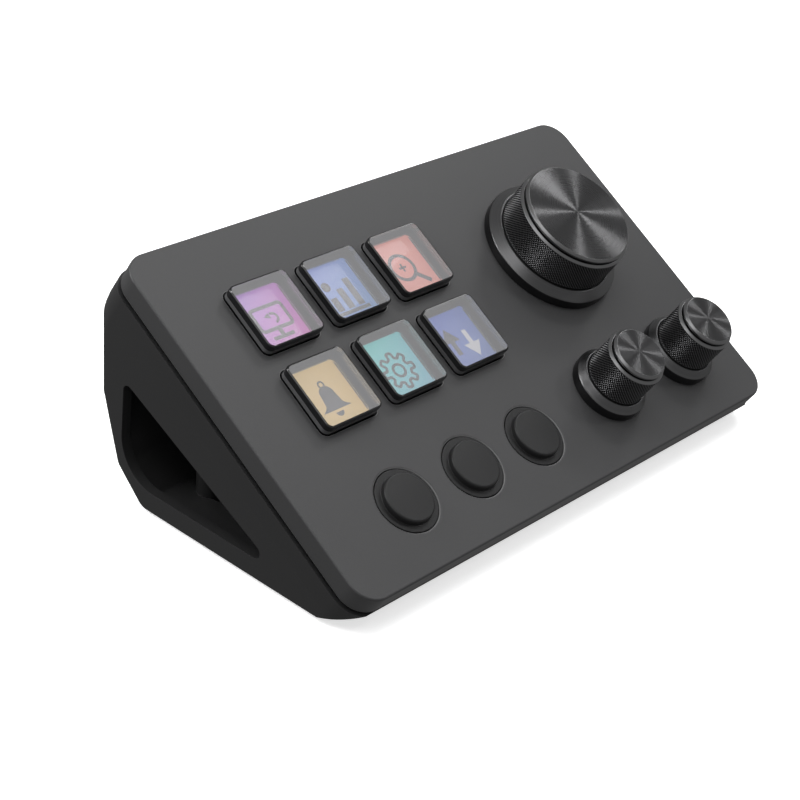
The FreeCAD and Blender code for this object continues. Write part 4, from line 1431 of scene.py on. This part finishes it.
@dataclass
class Pictures:
    """The lit fields below the keys and the symbols on them."""

    side: float = 12.0
    corner: float = 0.25
    low: float = -3.45
    thickness: float = 0.015
    ink_thickness: float = 0.01
    ink_shift: tuple[float, float] = (0.5, -0.9)
    line: float = 0.72
    crisp: float = 20.0

    def build(self, number: int, picture: Picture, u: float, v: float) -> list[Piece]:
        """Make one field and its symbol.

        Args:
            number: which key, from 1.
            picture: its colours and symbol.
            u: middle to the right.
            v: middle up the slope.

        Returns:
            The pieces, which ride on the base with the display.
        """
        half, top = self.side / 2, self.low + self.thickness
        tile = stacked([(half, self.corner, self.low), (half, self.corner, top)], u, v)
        made = [tile.piece(f"lit_field_{number}", picture.lit(u, v, self.side))]
        middle = np.array([u, v]) + np.array(self.ink_shift)
        dark, light = self.symbol(picture.glyph)
        for forms, name, tone in ((dark, "dark", picture.ink), (light, "light", picture.pale_ink)):
            if forms:
                surface = Surface()
                for form in forms:
                    self.raise_form(surface, form + middle, top)
                look = picture.mark(tone, name)
                made.append(surface.piece(f"symbol_{number}_{name}", look, sharp=self.crisp))
        for piece in made:
            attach(piece, "base")
        return made

    def raise_form(self, surface: Surface, form: Array, level: float) -> None:
        """Raise a flat form by the ink's thickness, with a floor and a top.

        Args:
            surface: what it is added to.
            form: a filled outline (n, 2), or a ribbon (n, 2, 2), which is a loop where its
                last points repeat its first.
            level: its floor.
        """
        levels = np.array([level, level + self.ink_thickness])
        if form.ndim == 2:
            outline = np.repeat(form[None], 2, axis=0)
            height = np.repeat(levels[:, None, None], len(form), axis=1)
            placed = FACE.place(np.concatenate([outline, height], axis=-1))
            surface.grid(placed, around=True)
            surface.polygon(placed[0], flip=True)
            surface.polygon(placed[1])
            return
        closed = np.allclose(form[0], form[-1])
        ribbon = form[:-1] if closed else form
        left, right = ribbon[:, 0], ribbon[:, 1]
        flat = np.stack([right, left, left, right], axis=1)
        height = np.repeat(levels[[0, 0, 1, 1]][None, :, None], len(flat), axis=0)
        placed = FACE.place(np.concatenate([flat, height], axis=-1))
        surface.grid(placed, around=True, along=closed)
        if not closed:
            surface.polygon(placed[0], flip=True)
            surface.polygon(placed[-1])

    def loop(self, path: Array, share: float = 1.0) -> Array:
        """Return a closed ribbon of a share of the line's width, its first point repeated."""
        ribbon = stroke(path, self.line * share, closed=True)
        return np.concatenate([ribbon, ribbon[:1]])

    def symbol(self, glyph: Glyph) -> Forms:
        """Draw a symbol.

        Args:
            glyph: which one.

        Returns:
            Its dark and its light forms, about the middle of its field.
        """
        draw = {
            Glyph.SCREEN: self.screen, Glyph.CHART: self.chart, Glyph.LENS: self.lens,
            Glyph.BELL: self.bell, Glyph.GEAR: self.gear, Glyph.ARROWS: self.arrows,
        }
        return draw[glyph]()

    def screen(self) -> Forms:
        """Draw a monitor on its foot, with a bent arrow.

        Returns:
            Its dark and its light forms.
        """
        border = rounded([(-3.6, -1.3, 0.7), (3.6, -1.3, 0.7), (3.6, 3.3, 0.7),
                          (-3.6, 3.3, 0.7)], closed=True, support=0.05)
        arrow = circle(0.3, 0.75, 0.95, 16, -90, 200)
        head = np.array([[-1.55, 1.35], [-0.15, 0.75], [-0.25, 2.0]])
        post = np.array([[0.0, -1.4], [0.0, -2.9]])
        foot = np.array([[-2.4, -3.1], [2.4, -3.1]])
        return [self.loop(border), stroke(arrow, self.line * 0.7), head,
                stroke(post, self.line * 1.3), stroke(foot, self.line)], []

    def chart(self) -> Forms:
        """Draw three bars over a base line, with a disc above them.

        Returns:
            Its dark and its light forms.
        """
        bars = [np.array([[x, -2.9], [x, top]]) for x, top in ((-2.6, 0.1), (0, 1.5), (2.6, 3.1))]
        base = np.array([[-4.1, -3.5], [4.1, -3.5]])
        return [*(stroke(bar, 1.55) for bar in bars), stroke(base, self.line),
                circle(-2.5, 2.6, 1.0)], []

    def lens(self) -> Forms:
        """Draw a magnifying glass with a plus sign.

        Returns:
            Its dark and its light forms.
        """
        handle = np.array([[1.35, -1.15], [3.7, -3.5]])
        plus = [np.array([[-1.6, 0.9], [0.2, 0.9]]), np.array([[-0.7, 0.0], [-0.7, 1.8]])]
        return [self.loop(circle(-0.7, 0.9, 2.75, 48)), stroke(handle, self.line * 1.4),
                *(stroke(bar, self.line * 0.6) for bar in plus)], []

    def bell(self) -> Forms:
        """Draw a filled bell with its clapper and ring.

        At the share t of its height from the shoulder down, the bell's half width is
        1.6 + 0.5 t + 1.3 m^1.5, where m rises from 0 at t = 0.65 to 1 at the mouth.

        Returns:
            Its dark and its light forms.
        """
        t = np.linspace(0, 1, 22)
        half = 1.6 + 0.5 * t + 1.3 * np.clip((t - 0.65) / 0.35, 0, 1) ** 1.5
        right = np.stack([half, 1.3 - 3.3 * t], -1)
        dome = circle(0, 1.3, 1.6, 20, 0, 180)
        left = right * np.array([-1, 1])
        body = np.vstack([right[::-1], dome[1:-1], left])
        clapper = circle(0, -2.5, 0.9, 16, 180, 180)
        return [body, clapper, self.loop(circle(0, 3.25, 0.6, 20), 0.5)], []

    def gear(self) -> Forms:
        """Draw a gear's outline with eight teeth, and its hub.

        The outline's radius is 3.15 + 0.55 tanh(3.2 cos 8a), which squares off a cosine.

        Returns:
            Its dark and its light forms.
        """
        a = np.linspace(0, 2 * np.pi, 160, endpoint=False)
        radius = 3.15 + 0.55 * np.tanh(3.2 * np.cos(8 * a))
        outline = np.stack([radius * np.cos(a), radius * np.sin(a)], -1)
        return [self.loop(outline, 0.8), self.loop(circle(0, 0, 1.25), 0.8)], []

    def arrows(self) -> Forms:
        """Draw a dark arrow up and a light arrow down.

        Returns:
            Its dark and its light forms.
        """
        arrow = np.array([[-0.55, -2.6], [0.55, -2.6], [0.55, 0.3], [2.1, 0.3], [0, 3.3],
                          [-2.1, 0.3], [-0.55, 0.3]])
        return [arrow + np.array([-2.1, 0.5])], [-arrow + np.array([2.1, -0.3])]


# Inside and stage

@dataclass
class Interior:
    """The carried-over nodes and the finish that each gets."""

    finishes: Finishes

    def build(self) -> list[Piece]:
        """Give every carried-over node its finish.

        Returns:
            The nodes.
        """
        f = self.finishes
        looks = {
            f.steel: ["cover_screws", "case_screws", "board_screws", "encoder_nuts",
                      "encoder_bodies", *(f"dial_{dial.value}_shaft" for dial in Dial)],
            f.inner: ["key_grid", "display_frame", "socket_tongue", "switch_bodies",
                      "contact_film", *(f"dial_{dial.value}_slider" for dial in Dial),
                      *(f"switch_plunger_{number}" for number in (1, 2, 3))],
            f.silicone: ["key_membrane"],
            f.amber: ["display_ribbon"],
            f.glass: ["display_panel"],
            f.board: ["main_board"],
            f.chip: ["board_parts"],
            f.nickel: ["power_socket"],
        }
        dressed = []
        for finish, nodes in looks.items():
            for node in nodes:
                thing = frame["nodes"][node]
                for slot in thing.material_slots:
                    slot.material = finish
                dressed.append(thing)
        return dressed


@dataclass(frozen=True)
class Softbox:
    """A rectangular lamp that faces the keypad: where it stands and what it gives.

    Its distance and sides are in metres.
    """

    name: str
    direction: tuple[float, float, float]
    distance: float
    width: float
    height: float
    radiance: float
    glossy: bool = True

    def build(self, target: Vector) -> Piece:
        """Hang the lamp and turn it to the target.

        Its power is radiance x pi x area.

        Args:
            target: the point it faces.

        Returns:
            The lamp.
        """
        lamp = bpy.data.lights.new(self.name, "AREA")
        lamp.shape, lamp.size, lamp.size_y = "RECTANGLE", self.width, self.height
        lamp.energy = self.radiance * math.pi * self.width * self.height
        thing = bpy.data.objects.new(self.name, lamp)
        bpy.context.scene.collection.objects.link(thing)
        away = Vector(self.direction).normalized()
        thing.location = target + away * self.distance
        thing.rotation_euler = away.to_track_quat("Z", "Y").to_euler()
        thing.visible_glossy, thing.visible_camera = self.glossy, False
        return thing


@dataclass
class Studio:
    """Pale floor, soft lights and the camera.

    The eye is in millimetres, the floor and the camera's clipping in metres, and the
    focal length in pixels.
    """

    eye: tuple[float, float, float] = (-244.26, -190.80, 172.89)
    right: tuple[float, float, float] = (0.66927, -0.73930, 0.07427)
    down: tuple[float, float, float] = (-0.30108, -0.36121, -0.88254)
    focal_pixels: float = 1839.6
    image: int = 800
    sensor: float = 36.0
    clip: tuple[float, float] = (0.01, 20.0)
    sky: float = 0.26
    floor_half: float = 4.0
    floor_points: int = 9
    floor_tones: tuple[Colour, Colour] = ((0.93, 0.93, 0.93), (0.95, 0.95, 0.95))
    floor_scale: float = 0.02
    floor_rough: float = 0.75
    floor_specular: float = 0.2
    floor_glow: float = 0.66
    boxes: tuple[Softbox, ...] = (
        Softbox("key_light", (0.717, 0.103, 0.689), 0.9, 0.15, 0.15, 9.0),
        Softbox("top_light", (0.37, -0.12, 0.92), 1.0, 0.045, 0.12, 50.0),
        Softbox("side_light", (0.564, -0.487, 0.667), 1.0, 0.09, 0.05, 32.0),
        Softbox("fill_light", (0.20, 0.10, 0.97), 1.2, 1.2, 1.2, 2.8, glossy=False),
        Softbox("crown_light", (-0.45, -0.25, 0.86), 0.9, 0.5, 0.5, 1.7),
        Softbox("left_light", (-0.66, 0.50, 0.56), 0.3, 0.12, 0.12, 7.0),
    )

    def build(self, target: Vector) -> None:
        """Lay the floor, hang the lights and set the camera.

        Args:
            target: the middle of the keypad.
        """
        self.floor()
        for box in self.boxes:
            box.build(target)
        world = bpy.data.worlds.new("studio")
        world.use_nodes = True
        background = world.node_tree.nodes["Background"]
        background.inputs["Color"].default_value = (1, 1, 1, 1)
        background.inputs["Strength"].default_value = self.sky
        bpy.context.scene.world = world
        bpy.context.scene.view_settings.view_transform = "Standard"
        self.camera()

    def floor(self) -> None:
        """Lay a pale floor as one flat grid at level 0."""
        line = np.linspace(-self.floor_half, self.floor_half, self.floor_points)
        x, y = np.meshgrid(line, line, indexing="xy")
        surface = Surface()
        surface.grid(np.stack([x, y, np.zeros_like(x)], -1))
        r = Recipe("pale_floor")
        fleck = r.noise(r.place(), self.floor_scale)
        look = r.principled({
            "Base Color": r.blend(fleck, *self.floor_tones),
            "Roughness": self.floor_rough, "Specular IOR Level": self.floor_specular,
            "Emission Color": (1, 1, 1, 1), "Emission Strength": self.floor_glow})
        ground = surface.piece("pale_floor", look)
        ground.visible_diffuse = ground.visible_glossy = ground.visible_transmission = False

    def camera(self) -> None:
        """Set the camera from its place, its axes and its focal length in pixels."""
        lens = bpy.data.cameras.new("view")
        lens.sensor_fit, lens.sensor_width = "HORIZONTAL", self.sensor
        lens.lens = self.focal_pixels / self.image * self.sensor
        lens.clip_start, lens.clip_end = self.clip
        thing = bpy.data.objects.new("view", lens)
        bpy.context.scene.collection.objects.link(thing)
        right, up = Vector(self.right).normalized(), -Vector(self.down).normalized()
        back = right.cross(up).normalized()
        axes = Matrix([[right[i], up[i], back[i]] for i in range(3)])
        thing.matrix_world = Matrix.Translation(Vector(self.eye) * MM) @ axes.to_4x4()
        bpy.context.scene.camera = thing


# Main

SMALL_DIAL = {"radius": 6.0988, "collar": 7.5988, "teeth": 60, "disc_bump": 0.00004,
              "disc_rough": 0.36}
DIALS = (
    DialSet(Dial.MAIN, radius=12.1, collar=14.4, teeth=120),
    DialSet(Dial.LEFT, **SMALL_DIAL),
    DialSet(Dial.RIGHT, **SMALL_DIAL),
)
PICTURES = (
    Picture(Glyph.SCREEN, (148, 95, 194), (197, 86, 166)),
    Picture(Glyph.CHART, (95, 119, 200), (74, 122, 168)),
    Picture(Glyph.LENS, (212, 121, 103), (207, 124, 108)),
    Picture(Glyph.BELL, (202, 170, 98), (206, 172, 100)),
    Picture(Glyph.GEAR, (70, 190, 180), (100, 162, 184)),
    Picture(Glyph.ARROWS, (57, 86, 178), (60, 90, 150)),
)


def report(group: str, pieces: list[Piece]) -> None:
    """Log each piece of a group with its number of faces."""
    for piece in pieces:
        LOG.info("%s: %s, %d faces", group, piece.name, len(piece.data.polygons))


def main() -> None:
    """Build the sub-assemblies in order."""
    logging.basicConfig(level=logging.INFO, format="%(message)s")
    finishes = Finishes()
    low, high = CAD_BOX
    Studio().build((low + high) / 2)
    report("case", Case(finishes).build())
    for dial in DIALS:
        report("dial", dial.build())
    keys, pictures = KeyBlock(), Pictures()
    # The keys' black and grey wall finishes are painted shade and a painted reflection.
    looks = (finishes.acrylic, finishes.gloss, finishes.wall_reflection_grey)
    for number, ((u, v), picture) in enumerate(zip(LAYOUT.keys(), PICTURES), 1):
        report("key", [keys.build(number, u, v, looks)])
        report("picture", pictures.build(number, picture, u, v))
    for number, (u, v) in enumerate(LAYOUT.buttons(), 1):
        report("button", [PushButton().build(number, u, v, finishes.button)])
    report("inside", Interior(finishes).build())


if __name__ == "__main__":
    main()
